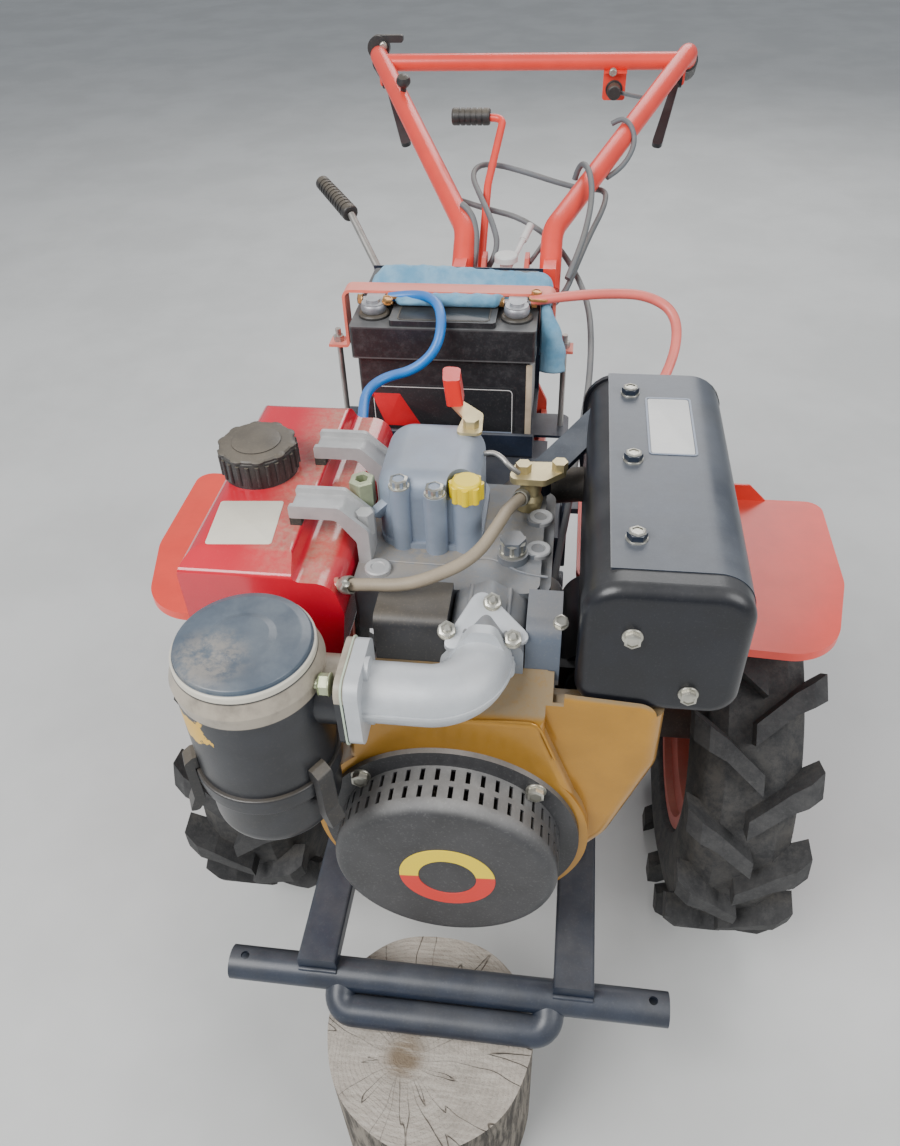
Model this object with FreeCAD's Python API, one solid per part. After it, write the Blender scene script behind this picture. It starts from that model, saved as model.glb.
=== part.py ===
import FreeCAD, Part
import os
from math import acos, cos, pi, radians, sin, tan
from FreeCAD import Vector

os.makedirs("parts", exist_ok=True)

# Walking tractor with an air-cooled engine in front of its axle. Millimetres.
# +Z is up, the front looks along -Y and +X is the machine's left side.
# The origin is on the ground, below the middle of the whole length and width.
# Places along the machine are given as distances behind its axle, ahead of it below zero.

# Tyres
tyre_radius = 290.0
tyre_width = 145.0
bead_gap = 1.0
bead_lip = 4.0
bead_width_inset = 14.0
sidewall_inset = 6.0
sidewall_round = 30.0
shoulder_inset = 18.0
shoulder_drop = 14.0
crown_inset = 40.0
lug_height = 22.0
lug_root = 24.0
lug_width = 25.0
lug_overlap = 6.0
lug_bend_out = 36.0
lug_bend_sweep = 37.0
lug_sweep = 58.0
lug_flare = 1.2
lug_shoulder = 16.0
lug_shoulder_drop = 9.0
lugs_per_side = 16

# Rims, hubs and axle
wheel_track = 616.0
wheel_shift = 13.0
rim_radius = 152.0
rim_flange_radius = 164.0
rim_width = 104.0
rim_wall = 4.0
well_depth = 14.0
well_inner = 34.0
well_outer = 12.0
well_ramp = 7.0
disc_inset = 30.0
disc_wall = 5.0
disc_flat_radius = 119.0
dish_radius = 97.0
dish_depth = 38.0
dish_bend = 12.0
vent_ring_radius = 133.0
vent_radius = 9.0
vent_count = 6
hub_radius = 46.0
hub_barrel_radius = 38.0
hub_flange_radius = 70.0
hub_flange_thickness = 10.0
hub_nose = 30.0
hub_gap = 0.3
wheel_bolt_ring = 58.0
wheel_bolt_across = 20.0
wheel_bolt_height = 12.0
wheel_bolt_count = 5
axle_radius = 20.0
axle_stub = 44.0
axle_depth = 60.0
axle_fit = 0.05

# Overall reach from the axle, which centres the machine over its origin
stump_radius = 122.0
stump_ahead = 455.0
handle_end_behind = 1076.0
axle_y = (stump_ahead + stump_radius - handle_end_behind) / 2
axle_z = tyre_radius

# Offsets of the engine and the frame from the middle of the machine
crank_x = -10.0
frame_x = -17.0

# Front frame
rail_spacing = 292.0
rail_width = 45.0
rail_height = 25.0
rail_round = 4.0
rail_top = 300.0
rail_end = -78.0
rail_past_tube = 6.0
rail_sink = 6.0
bumper_behind = -415.0
bumper_length = 505.0
bumper_radius = 19.0
bumper_wall = 3.5
bumper_hole_radius = 5.0
bumper_hole_inset = 18.0
bow_width = 240.0
bow_drop = 22.0
bow_forward = 31.0
bow_radius = 18.0
bow_bend = 18.0
bow_start_drop = 2.0
bed_plate_thickness = 10.0
bed_plate_length = 60.0
bed_plate_overhang = 10.0
bed_places = (-250.0, -140.0)
tie_thickness = 12.0
tie_below = 60.0
tie_above = 20.0
tie_bolt_spread = 50.0
tie_bolt_low = 42.0
tie_bolt_high = 4.0
tie_bolt_across = 20.0
tie_bolt_height = 6.0

# Log
stump_offset = 14.0
stump_wave = 2.2
stump_dent = 0.9
stump_points = 24

# Crankcase
crank_z = 490.0
case_length = 165.0
case_half = 98.0
case_rise = 118.0
case_waist = 70.0
sump_half = 84.0
sump_height = 22.0
case_round = 18.0
foot_spread = 14.0
foot_height = 30.0
foot_inset = 6.0
foot_slope = 10.0
side_cover_radius = 62.0
side_cover_depth = 12.0
side_cover_step = 6.0
side_cover_behind = 82.0
side_cover_drop = 20.0

# Cylinder and head
cylinder_radius = 62.0
cylinder_behind = 70.0
fin_count = 8
fin_pitch = 9.0
fin_thickness = 3.0
fin_half = 82.0
fin_front = 70.0
fin_back = 74.0
fin_round = 14.0
fin_start = 4.0
head_top = 742.0
head_depth = 58.0
head_front = -266.0
head_back = -96.0
head_left_side = 78.0
head_right_side = 97.0
head_round = 16.0
head_fin_count = 5
head_fin_pitch = 9.5
head_fin_thickness = 3.5
head_fin_start = 6.0
head_fin_out = 10.0
head_fin_back = 6.0
nut_boss_out = 50.0
nut_boss_behind = -216.0
nut_boss_radius = 15.0
nut_boss_height = 8.0
nut_across = 25.0
nut_height = 17.0
round_bosses = ((70.0, -207.0), (70.0, -157.0))
round_boss_radius = 10.0
round_boss_height = 5.0

# Intake port block
port_face = -332.0
port_left = 1.0
port_ridge = 34.0
port_right = 68.0
port_left_top = 740.0
port_ridge_top = 758.0
port_right_top = 736.0
port_low = 706.0
port_round = 10.0
port_line_radius = 2.5
port_line_out = (17.0, 52.0)
port_line_inset = 3.0

# Air guides beside the port block
guide_face = -322.5
guide_back = -270.0
guide_gap = 1.0
guide_left_width = 31.0
guide_left_rise = 10.0
guide_right_width = 66.0
guide_right_rise = 12.0
guide_left_round = 18.0
guide_right_round = 10.0

# Rocker cover and filler cap
rocker_offset = -34.0
rocker_front = -206.0
rocker_back = -92.0
rocker_half = 49.0
rocker_height = 78.0
rocker_corner = 26.0
rocker_dome = 22.0
rocker_flange = 4.0
rocker_flange_height = 6.0
column_spots = ((10.0, -2.0, 66.0, 11.0), (-24.0, 2.0, 70.0, 10.0))
column_bolt_across = 17.0
column_bolt_height = 8.0
filler_out = 39.0
filler_behind = 6.0
filler_height = 58.0
filler_radius = 14.0
filler_relief = 5.0
cap_height = 20.0
cap_edge = 3.0
cap_lobes = 8
cap_lobe_ring = 13.0
cap_lobe_radius = 3.5
cap_lobe_height = 17.0

# Decompression lever
strip_out = 32.0
strip_ahead = 12.0
strip_thickness = 3.0
strip_pivot_across = 16.0
strip_pivot_height = 8.0
grip_rise = 26.0

# Injector
injector_out = 58.0
injector_behind = -130.0
injector_lean = 6.0
injector_height = 34.0
injector_radius = 15.0
injector_waist = 11.0
clamp_thickness = 7.0
clamp_bolt_across = 16.0
clamp_bolt_height = 9.0

# Fan shroud
fan_front = -410.0
shroud_depth = 105.0
shroud_opening_radius = 115.0
ring_radius = 140.0
shroud_half = 96.0
shroud_drop = 10.0
shroud_edge = 7.0
panel_right = 90.0
slope_low = 664.0
slope_top = 704.0
slope_round = 14.0
slope_reach = 106.0
lobe_set_back = 12.0
lobe_edge = 15.0
lobe_start = 60.0
lobe_top = 698.0
lobe_right = 197.0
shroud_back_wall = 3.0
shaft_opening_radius = 34.0
shroud_gap = 0.3
muffler_air = 3.0
muffler_rest = 4.0

# Fan cover
fan_cover_radius = 112.0
fan_cover_depth = 55.0
fan_cover_wall = 2.5
fan_cover_round = 14.0
fan_flange_radius = 131.0
fan_flange_thickness = 6.0
slot_width = 4.4
slot_length = 13.0
slot_pitch = 19.0
slot_start = 13.5
slots_per_row = 48
slots_left_out = (215.0, 325.0)
cover_bolt_ring = 121.0
cover_bolt_across = 13.0
cover_bolt_height = 7.0
cover_bolt_angles = (45, 135, 225, 315)

# Fan
fan_disc_radius = 96.0
fan_disc_gap = 10.0
fan_boss_radius = 52.0
fan_boss_gap = 14.0
fan_shaft_radius = 24.0
blade_inner = 50.0
blade_outer = 100.0
blade_reach = 14.0
blade_thickness = 4.0
blade_count = 16

# Intake elbow
elbow_radius = 26.5
elbow_ridge = 1.6
elbow_ridge_height = 3.0
elbow_out = 32.0
elbow_end_out = -60.0
elbow_behind = -382.5
elbow_z = 726.0
elbow_bend = 42.0
port_flange_thickness = 10.0
end_flange_thickness = 12.0
end_flange_half = 34.0
end_flange_rise = 38.0
end_flange_round = 14.0
end_boss_radius = 11.0
end_boss_length = 16.0

# Air cleaner
cleaner_out = -158.0
cleaner_behind = -388.0
cleaner_top = 789.0
cleaner_mid = 644.0
cleaner_low = 556.0
cleaner_cap_radius = 57.0
cleaner_rim_out = 3.0
cleaner_skirt_out = 8.0
body_radius = 63.0
cleaner_bead_out = 4.0
cleaner_bead_height = 10.0
neck_radius = 30.0
neck_flange_thickness = 8.0
bowl_inset = 3.0
bowl_foot_inset = 24.0
bowl_shoulder = 30.0
clip_angles = (-32, 88, 208)
clip_width = 16.0

# Fuel tank
tank_left = -262.0
tank_right = -152.0
tank_shoulder = -109.0
tank_front = -296.0
tank_back = -12.0
tank_top = 784.0
tank_low = 640.0
tank_brow = 24.0
tank_brow_drop = 12.0
tank_end_round = 16.0
shoulder_drop_z = 18.0
shoulder_lean = 8.0
seam_width = 5.0
outlet_behind = -281.0
outlet_z = 752.0
outlet_radius = 8.0
outlet_depth = 24.0
outlet_inset = 6.0
tank_cap_x = -222.0
tank_cap_behind = -146.0
tank_cap_radius = 38.0
tank_cap_height = 30.0
tank_cap_edge = 3.0
tank_cap_dish_radius = 24.0
tank_cap_dish_depth = 2.0
tank_cap_ribs = 24
tank_cap_rib_radius = 2.2
tank_cap_rib_gap = 4.0

# Tank brackets and pads
bracket_places = (-236.0, -136.0)
bracket_width = 34.0
bracket_wall = 8.0
bracket_rib = 5.0
bracket_rib_rise = 6.0
bracket_hook = 16.0
bracket_reach = 32.0
bracket_foot_inset = 1.0
bracket_foot = 12.0
bracket_foot_rise = 33.0
bracket_bend = 8.0
pad_height = 8.0
pad_length = 11.0
standoff_across = 17.0
standoff_height = 24.0

# Muffler, its guard and the exhaust pipe
muffler_left = 244.0
muffler_right = 106.0
muffler_front = -338.0
muffler_back = 12.0
muffler_top = 816.0
muffler_low = 676.0
muffler_top_round = 34.0
muffler_low_round = 26.0
muffler_cover_depth = 26.0
muffler_cover_out = 2.0
muffler_cover_edge = 12.0
guard_thickness = 3.0
guard_strip = 20.0
guard_skirt = 50.0
guard_round = 36.0
guard_bolt_inset = 42.0
guard_bolt_places = (-272.0, -153.0, -30.0)
guard_bolt_across = 18.0
guard_bolt_height = 7.0
strap_width = 34.0
strap_thickness = 6.0
strap_foot = (62.0, -104.0)
strap_foot_radius = 10.0
strap_foot_height = 18.0
strap_end_behind = -12.0
strap_end_z = 798.0
exhaust_radius = 19.0
exhaust_bend = 30.0
exhaust_drop = 30.0
exhaust_end_drop = 14.0
exhaust_out = 40.0
exhaust_back = 34.0

# Starter
starter_out = 138.0
starter_behind = 30.0
starter_rise = 96.0
starter_radius = 38.0
starter_length = 128.0
starter_nose_radius = 30.0
starter_nose = 16.0
solenoid_radius = 22.0
solenoid_out = 10.0
solenoid_rise = 52.0
solenoid_span = (40.0, 112.0)
starter_ear_span = (20.0, 32.0)
starter_ear_rise = (60.0, 120.0)

# Clutch housing, gearbox and axle housings
clutch_radius = 112.0
clutch_length = 112.0
clutch_flange = 8.0
clutch_flange_length = 12.0
clutch_cone_start = 60.0
clutch_neck_radius = 84.0
box_half_width = 85.0
box_front = -66.0
box_behind = 150.0
box_bottom = 195.0
box_step = 378.0
box_top = 575.0
box_round = 18.0
box_edge = 4.0
box_lid_half = 70.0
box_lid_thickness = 8.0
box_lid_inset = 10.0
shaft_cap_radius = 34.0
shaft_cap_depth = 8.0
shaft_cap_behind = 68.0
shaft_cap_z = 440.0
box_boss_radius = 66.0
box_boss_out = 10.0
housing_radius = 42.0
housing_end = 212.0
housing_collar = 10.0
housing_flange = 12.0
housing_collar_length = 24.0

# Rear hitch
hitch_z = 300.0
hitch_reach = 78.0
hitch_gap = 60.0
hitch_plate = 12.0
hitch_pin_radius = 11.0
hitch_nose_radius = 42.0
hitch_root_half = 56.0
hitch_back_plate = 14.0
hitch_back_half = 60.0
hitch_round = 8.0

# Fenders and stays
wheel_gap = 18.0
fender_outer = 411.0
fender_inner = 236.0
fender_root = 106.0
fender_root_front = -88.0
fender_thickness = 3.0
fender_front = -182.0
fender_back = 96.0
fender_side_front = -60.0
fender_corner = 60.0
fender_lip = 8.0
upstand_width = 110.0
upstand_height = 26.0
stay_front = 60.0
stay_width = 40.0
stay_thickness = 8.0
stay_foot_low = 500.0
stay_reach = 30.0
stay_bend = 12.0

# Battery, hold-down and tray
battery_length = 242.0
battery_width = 175.0
battery_height = 190.0
battery_x = -81.0
battery_behind = 180.0
battery_floor = 600.0
battery_round = 5.0
lid_height = 52.0
lid_step = 8.0
case_in = 6.0
panel_inset = 52.0
panel_margin = 4.0
panel_step = 70.0
clamp_inset = 27.0
clamp_behind = 38.0
post_radius = 9.0
post_height = 22.0
clamp_ring_radius = 15.0
clamp_ring_low = 6.0
clamp_ring_high = 18.0
clamp_ear_half = 12.0
clamp_ear_span = (8.0, 26.0)
clamp_screw_radius = 4.0
clamp_screw_half = 18.0
clamp_screw_behind = 20.0
clamp_screw_rise = 12.0
bar_inset = 109.5
bar_width = 26.0
bar_thickness = 4.0
bar_rise = 9.0
bar_clear = 18.0
bar_leg = 80.0
bar_ear = 30.0
rod_radius = 4.0
rod_hole_radius = 4.2
rod_in_ear = 18.0
rod_past_bar = 22.0
rod_past_tray = 14.0
rod_nut_across = 15.0
rod_nut_height = 8.0
tray_thickness = 4.0
tray_gap = 4.0
tray_lip = 34.0
tray_ear_width = 60.0
pedestal_half = 60.0
pedestal_front = 100.0
pedestal_back = 220.0
pedestal_window = 60.0
cloth_gap = 0.3
cloth_half = 108.0
cloth_front_right = 7.0
cloth_front_left = 73.0
cloth_ahead = 26.0
cloth_back = 62.0
cloth_hang = 90.0
cloth_thickness = 12.0
cloth_side_gap = 2.0

# Handlebar column
column_behind = 370.0
column_plate = 8.0
column_half = 70.0
column_low = 480.0
column_high = 770.0
column_waist_half = 52.0
column_waist = ((572.0, 610.0), (650.0, 690.0))
column_round = 14.0
column_window_half = 24.0
column_window_low = 620.0
column_window_high = 700.0
cheek_back = 430.0
cheek_height = 80.0
cheek_tip = 40.0
bridge_z = 520.0
bridge_thickness = 12.0
post_bracket_half = 34.0
post_bracket_plate = 6.0
post_bracket_low = 600.0
post_bracket_high = 786.0
post_bracket_back = 440.0
post_bracket_top = 404.0
shelf_z = 528.0
shelf_thickness = 8.0
clamp_rod_radius = 9.0
clamp_rod_height = 244.0
clamp_cap_radius = 17.0
clamp_cap_height = 10.0
clamp_rod_out = 1.0
clamp_rod_behind = 40.0
clamp_knob_radius = 6.0
clamp_knob_length = 30.0
clamp_handle_radius = 4.0
clamp_handle_start = 225.0
clamp_handle_reach = (30.0, 84.0, 40.0)

# Handlebar
handle_tube_radius = 16.0
cross_tube_radius = 14.0
handle_half_base = 65.0
handle_half_end = 278.0
handle_base_behind = 394.0
handle_base_z = 742.0
handle_knee_behind = 470.0
handle_knee_z = 803.0
handle_bend_behind = 955.0
handle_bend_z = 941.0
handle_knee_bend = 60.0
handle_bend_radius = 50.0
handle_end_out = 8.0
handle_end_z = 886.0
base_plate_half = 9.0
base_plate_end = 52.0
base_plate_low = 690.0
base_plate_high = 782.0
base_plate_round = 12.0
cross_behind = 925.0
switch_plate_out = 152.0
switch_plate_half = 20.0
switch_plate_drop = 62.0
switch_plate_thickness = 3.0
switch_plate_depth = 18.0
switch_plate_round = 5.0
switch_collar = 3.0
switch_collar_depth = 4.0
switch_drop = 44.0
switch_radius = 12.0
switch_length = 30.0

# Levers and grips
lever_behind = 948.0
lever_in = 13.0
lever_drop = 43.0
yoke_half = 13.0
yoke_depth = 9.0
yoke_rise = 36.0
yoke_below = 6.0
yoke_slot_half = 9.3
yoke_slot_rise = 14.0
lever_pin_radius = 4.0
lever_pin_fit = 0.1
lever_eye_radius = 11.0
lever_eye_half = 9.0
lever_root_half = 6.0
lever_tip_half = 9.0
lever_tip_round = 7.0
lever_thickness = 9.0
lever_right_in = 50.0
lever_left_in = 32.0
lever_forward = 120.0
lever_down = 76.0
throttle_ahead = (1.0, 17.0, 7.0)
throttle_clamp_radius = 20.0
throttle_clamp_half = 8.0
throttle_arm_reach = 46.0
throttle_arm_round = 4.0
throttle_arm_half = 5.0
throttle_arm_low = 8.0
throttle_arm_high = 20.0
bar_grip_length = 76.0
bar_grip_radius = 20.0
shift_rod_radius = 6.0
gear_rod_out = 43.0
gear_rod_below = 18.0
gear_grip_length = 62.0
gear_grip_radius = 13.0
range_grip_length = 110.0
range_grip_radius = 14.0
range_grip_tip = 12.0
grip_round = 4.0
grip_groove = 1.2
grip_groove_pitch = 9.0
grip_groove_width = 3.0
grip_groove_start = 12.0

# Range lever from the gearbox's side, as (x, distance behind the axle, z, bend radius)
range_route = (
    (-80.0, 110.0, 466.0, 0),
    (-104.0, 140.0, 470.0, 16),
    (-112.0, 378.0, 570.0, 24),
    (-150.0, 396.0, 640.0, 40),
    (-284.0, 585.0, 782.0, 0),
)
range_grip_reach = (-75.0, 95.0, 27.0)

# Gear lever above its root, as (x, distance behind the axle, z, bend radius)
gear_route = (
    (-60.0, 424.0, 700.0, 60),
    (-57.0, 560.0, 838.0, 60),
    (-43.0, 680.0, 902.0, 12),
    (-84.0, 684.0, 904.0, 0),
)
gear_turn_behind = 408.0
gear_turn_bend = 30.0
gear_grip_overlap = 42.0

# Cords: radii, and their points as x, distance behind the axle and height
hose_radius = 6.0
lead_radius = 6.5
control_radius = 3.5
wire_radius = 2.5


def behind(distance):
    return axle_y + distance


def box(x0, x1, y0, y1, z0, z1):
    return Part.makeBox(x1 - x0, y1 - y0, z1 - z0, Vector(x0, y0, z0))


def rod(start, end, radius):
    way = end - start
    return Part.makeCylinder(radius, way.Length, start, way)


def fuse(shapes):
    return shapes[0].multiFuse(shapes[1:]).removeSplitter()


def rounded_edges(corners, closed):
    """Lines and tangent arcs through corners, each given as (point, radius)."""
    count = len(corners)
    entry = []
    leave = []
    middle = []
    for index in range(count):
        point, radius = corners[index]
        end_corner = not closed and index in (0, count - 1)
        if end_corner or radius == 0:
            entry.append(point)
            leave.append(point)
            middle.append(None)
            continue
        before = (point - corners[index - 1][0]).normalize()
        after = (corners[(index + 1) % count][0] - point).normalize()
        turn = acos(max(-1.0, min(1.0, before.dot(after))))
        reach = radius * tan(turn / 2)
        inward = (after - before).normalize()
        entry.append(point - before * reach)
        leave.append(point + after * reach)
        middle.append(point + inward * (radius / cos(turn / 2) - radius))
    edges = []
    for index in range(count):
        if middle[index] is not None:
            edges.append(Part.Arc(entry[index], middle[index], leave[index]).toShape())
        if index < count - 1 or closed:
            start = leave[index]
            end = entry[(index + 1) % count]
            if (end - start).Length > 0.001:
                edges.append(Part.LineSegment(start, end).toShape())
    return edges


def bent_tube(corners, radius):
    path = Part.Wire(rounded_edges(corners, False))
    start = corners[0][0]
    way = (corners[1][0] - start).normalize()
    ring = Part.Wire([Part.Circle(start, way, radius).toShape()])
    return path.makePipeShell([ring], True, False)


def plate(corners, way):
    return Part.Face(Part.Wire(rounded_edges(corners, True))).extrude(way)


def corner_radius(corner):
    return corner[2] if len(corner) > 2 else 0


def seen_from_front(outline, front, back):
    """Outline of (x, z, radius) corners, extruded along the machine."""
    corners = [(Vector(item[0], front, item[1]), corner_radius(item)) for item in outline]
    return plate(corners, Vector(0, back - front, 0))


def seen_from_side(outline, right, left):
    """Outline of (distance behind the axle, z, radius) corners, extruded across the machine."""
    corners = [(Vector(right, behind(item[0]), item[1]), corner_radius(item)) for item in outline]
    return plate(corners, Vector(left - right, 0, 0))


def seen_from_above(outline, low, high):
    """Outline of (x, distance behind the axle, radius) corners, extruded upwards."""
    corners = [(Vector(item[0], behind(item[1]), low), corner_radius(item)) for item in outline]
    return plate(corners, Vector(0, 0, high - low))


def turned(profile, centre, axis):
    """Solid of revolution about an axis, from (distance along it, radius, rounding) corners."""
    corners = [(Vector(item[1], 0, item[0]), corner_radius(item)) for item in profile]
    face = Part.Face(Part.Wire(rounded_edges(corners, True)))
    solid = face.revolve(Vector(0, 0, 0), Vector(0, 0, 1), 360)
    solid.Placement = FreeCAD.Placement(centre, FreeCAD.Rotation(Vector(0, 0, 1), axis))
    return solid


def rounded(shape, radius, chosen):
    return shape.makeFillet(radius, [edge for edge in shape.Edges if chosen(edge.BoundBox)])


def hex_bolt(centre, way, across, height):
    corners = []
    for index in range(6):
        angle = radians(60 * index)
        corners.append(Vector(across / 2 * cos(angle), across / 2 * sin(angle), 0))
    head = Part.Face(Part.makePolygon(corners + corners[:1])).extrude(Vector(0, 0, height))
    head.Placement = FreeCAD.Placement(centre, FreeCAD.Rotation(Vector(0, 0, 1), way))
    return head


def cord(name, points, radius):
    """Tube of a cord, each arc as large as its two runs allow."""
    corners = [(points[0], 0)]
    arcs = []
    for before, point, after in zip(points, points[1:], points[2:]):
        first = point - before
        second = after - point
        arc = 0.45 * min(first.Length, second.Length) / tan(first.getAngle(second) / 2)
        arcs.append(round(arc))
        corners.append((point, arc))
    corners.append((points[-1], 0))
    print(name, "radius", radius, "bend radii", arcs)
    return bent_tube(corners, radius)


def save(node, shape):
    solids = shape.Solids
    kept = solids[0] if len(solids) == 1 else Part.Compound(solids)
    kept.exportStep("parts/" + node + ".step")
    print(node, len(solids), round(shape.Volume / 1e6, 3), shape.isValid())


# Tyres with chevron lugs
def make_tyre(centre_x):
    half = tyre_width / 2
    tread = tyre_radius - lug_height
    bead_half = rim_width / 2 - rim_wall
    bead_top = rim_flange_radius + bead_gap
    sidewall = (rim_radius + tread) / 2
    right_side = [
        (bead_half, rim_radius),
        (bead_half, bead_top),
        (half - bead_width_inset, bead_top + bead_lip, sidewall_inset),
        (half - sidewall_inset, sidewall, sidewall_round),
        (half - shoulder_inset, tread - shoulder_drop, shoulder_drop),
        (half - crown_inset, tread),
    ]
    left_side = [(-item[0],) + item[1:] for item in reversed(right_side)]
    carcass = turned(right_side + left_side, Vector(0, 0, 0), Vector(1, 0, 0))
    tread_space = turned(
        [
            (-half, 0),
            (-half, tyre_radius - lug_shoulder_drop),
            (lug_shoulder - half, tyre_radius),
            (half - lug_shoulder, tyre_radius),
            (half, tyre_radius - lug_shoulder_drop),
            (half, 0),
        ],
        Vector(0, 0, 0),
        Vector(1, 0, 0),
    )
    narrow = lug_width / 2
    wide = narrow * lug_flare
    lug = plate(
        [
            (Vector(-lug_overlap, -narrow, tread - lug_root), 0),
            (Vector(lug_bend_out, lug_bend_sweep - narrow, tread - lug_root), 0),
            (Vector(half, lug_sweep - wide, tread - lug_root), 0),
            (Vector(half, lug_sweep + wide, tread - lug_root), 0),
            (Vector(lug_bend_out, lug_bend_sweep + narrow, tread - lug_root), 0),
            (Vector(-lug_overlap, narrow, tread - lug_root), 0),
        ],
        Vector(0, 0, 2 * lug_height + lug_root),
    ).common(tread_space)
    step = 360.0 / lugs_per_side
    lugs = []
    for index in range(lugs_per_side):
        left_bar = lug.copy()
        left_bar.rotate(Vector(0, 0, 0), Vector(1, 0, 0), step * index)
        right_bar = lug.mirror(Vector(0, 0, 0), Vector(1, 0, 0))
        right_bar.rotate(Vector(0, 0, 0), Vector(1, 0, 0), step * (index + 0.5))
        lugs += [left_bar, right_bar]
    tyre = carcass.multiFuse(lugs)
    tyre.translate(Vector(centre_x, axle_y, axle_z))
    return tyre


# Rims with a dropped well and a dished, vented disc
def make_rim(centre_x, side):
    half = rim_width / 2
    inner = rim_radius - rim_wall
    well = inner - well_depth
    centre = Vector(centre_x, axle_y, axle_z)
    barrel = turned(
        [
            (-half, rim_flange_radius),
            (-half, inner),
            (-well_inner - well_ramp, inner),
            (-well_inner, well),
            (well_outer, well),
            (well_outer + well_ramp, inner),
            (half, inner),
            (half, rim_flange_radius),
            (half - rim_wall, rim_flange_radius),
            (half - rim_wall, rim_radius),
            (well_outer + well_ramp - rim_wall, rim_radius),
            (well_outer - rim_wall, well + rim_wall),
            (rim_wall - well_inner, well + rim_wall),
            (rim_wall - well_inner - well_ramp, rim_radius),
            (rim_wall - half, rim_radius),
            (rim_wall - half, rim_flange_radius),
        ],
        centre,
        Vector(side, 0, 0),
    )
    hub_face = disc_inset - dish_depth
    disc = turned(
        [
            (disc_inset, inner),
            (disc_inset - disc_wall, inner),
            (disc_inset - disc_wall, disc_flat_radius, dish_bend),
            (hub_face, dish_radius, dish_bend),
            (hub_face, hub_radius),
            (hub_face + disc_wall, hub_radius),
            (hub_face + disc_wall, dish_radius + 2, dish_bend),
            (disc_inset, disc_flat_radius + 2, dish_bend),
        ],
        centre,
        Vector(side, 0, 0),
    )
    vents = []
    for index in range(vent_count):
        angle = 2 * pi * (index + 0.5) / vent_count
        spot = centre + Vector(0, vent_ring_radius * cos(angle), vent_ring_radius * sin(angle))
        vents.append(rod(spot, spot + Vector(side * half, 0, 0), vent_radius))
    return fuse([barrel, disc]).cut(vents)


# Hubs, each on the shaft that turns in its axle housing
def make_hub(centre_x, side):
    centre = Vector(centre_x, axle_y, axle_z)
    way = Vector(side, 0, 0)
    face = disc_inset - dish_depth
    inner_end = housing_end + hub_gap - side * centre_x
    hub = turned(
        [
            (inner_end - axle_depth, 0),
            (inner_end - axle_depth, axle_radius),
            (inner_end, axle_radius),
            (inner_end, hub_barrel_radius),
            (face - hub_flange_thickness, hub_barrel_radius),
            (face - hub_flange_thickness, hub_flange_radius),
            (face, hub_flange_radius),
            (face, hub_radius - hub_gap),
            (face + hub_nose, hub_radius - hub_gap, 4),
            (face + hub_nose, axle_radius),
            (face + axle_stub, axle_radius),
            (face + axle_stub, 0),
        ],
        centre,
        way,
    )
    pieces = [hub]
    for index in range(wheel_bolt_count):
        angle = 2 * pi * (index / wheel_bolt_count + 0.25)
        spot = Vector(face + disc_wall, wheel_bolt_ring * cos(angle), wheel_bolt_ring * sin(angle))
        spot = centre + Vector(side * spot.x, spot.y, spot.z)
        pieces.append(hex_bolt(spot, way, wheel_bolt_across, wheel_bolt_height - disc_wall))
        pieces.append(rod(spot - way * disc_wall, spot, wheel_bolt_across / 4))
    return fuse(pieces)


for name, side in (("left", 1), ("right", -1)):
    wheel_x = wheel_shift + side * wheel_track / 2
    rim = make_rim(wheel_x, side)
    hub = make_hub(wheel_x, side)
    save("tyre_" + name, make_tyre(wheel_x))
    save("rim_" + name, rim.cut(hub))
    save("hub_" + name, hub)

# Front frame: box rails, a cross tube with a hole near each end, and a bow in front of it
bumper_y = behind(bumper_behind)
bumper_z = rail_top - rail_height - bumper_radius + rail_sink
rails_back = behind(rail_end)
half_bumper = bumper_length / 2
half_spacing = rail_spacing / 2
half_rail = rail_width / 2
frame_pieces = []
for side in (-1, 1):
    rail_x = frame_x + side * half_spacing
    rail_front = bumper_y - rail_past_tube
    rail_low = rail_top - rail_height
    rail = box(rail_x - half_rail, rail_x + half_rail, rail_front, rails_back, rail_low, rail_top)
    frame_pieces.append(rounded(rail, rail_round, lambda bounds: bounds.YLength > rail_height * 2))
cross_start = Vector(frame_x - half_bumper, bumper_y, bumper_z)
cross_end = Vector(frame_x + half_bumper, bumper_y, bumper_z)
frame_pieces.append(rod(cross_start, cross_end, bumper_radius))
bow_y = bumper_y - bow_forward
bow_z = bumper_z - bow_drop
half_bow = bow_width / 2
frame_pieces.append(
    bent_tube(
        [
            (Vector(frame_x - half_bow, bumper_y, bumper_z - bow_start_drop), 0),
            (Vector(frame_x - half_bow, bow_y, bow_z), bow_bend),
            (Vector(frame_x + half_bow, bow_y, bow_z), bow_bend),
            (Vector(frame_x + half_bow, bumper_y, bumper_z - bow_start_drop), 0),
        ],
        bow_radius,
    )
)
bed_top = rail_top + bed_plate_thickness
bed_half = half_spacing + bed_plate_overhang
for bed_start in bed_places:
    bed_end = bed_start + bed_plate_length
    frame_pieces.append(
        box(frame_x - bed_half, frame_x + bed_half, behind(bed_start), behind(bed_end), rail_top, bed_top)
    )
tie_half = half_spacing + half_rail
tie_low = rail_top - tie_below
tie_top = rail_top + tie_above
tie_end = rail_end + tie_thickness
tie_plate = seen_from_front(
    [
        (frame_x - tie_half, tie_low + tie_below / 2, 8),
        (frame_x - tie_half, tie_top, 8),
        (frame_x + tie_half, tie_top, 8),
        (frame_x + tie_half, tie_low + tie_below / 2, 8),
        (frame_x + box_half_width, tie_low, 8),
        (frame_x - box_half_width, tie_low, 8),
    ],
    rails_back,
    behind(tie_end),
)
frame_pieces.append(tie_plate)
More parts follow.
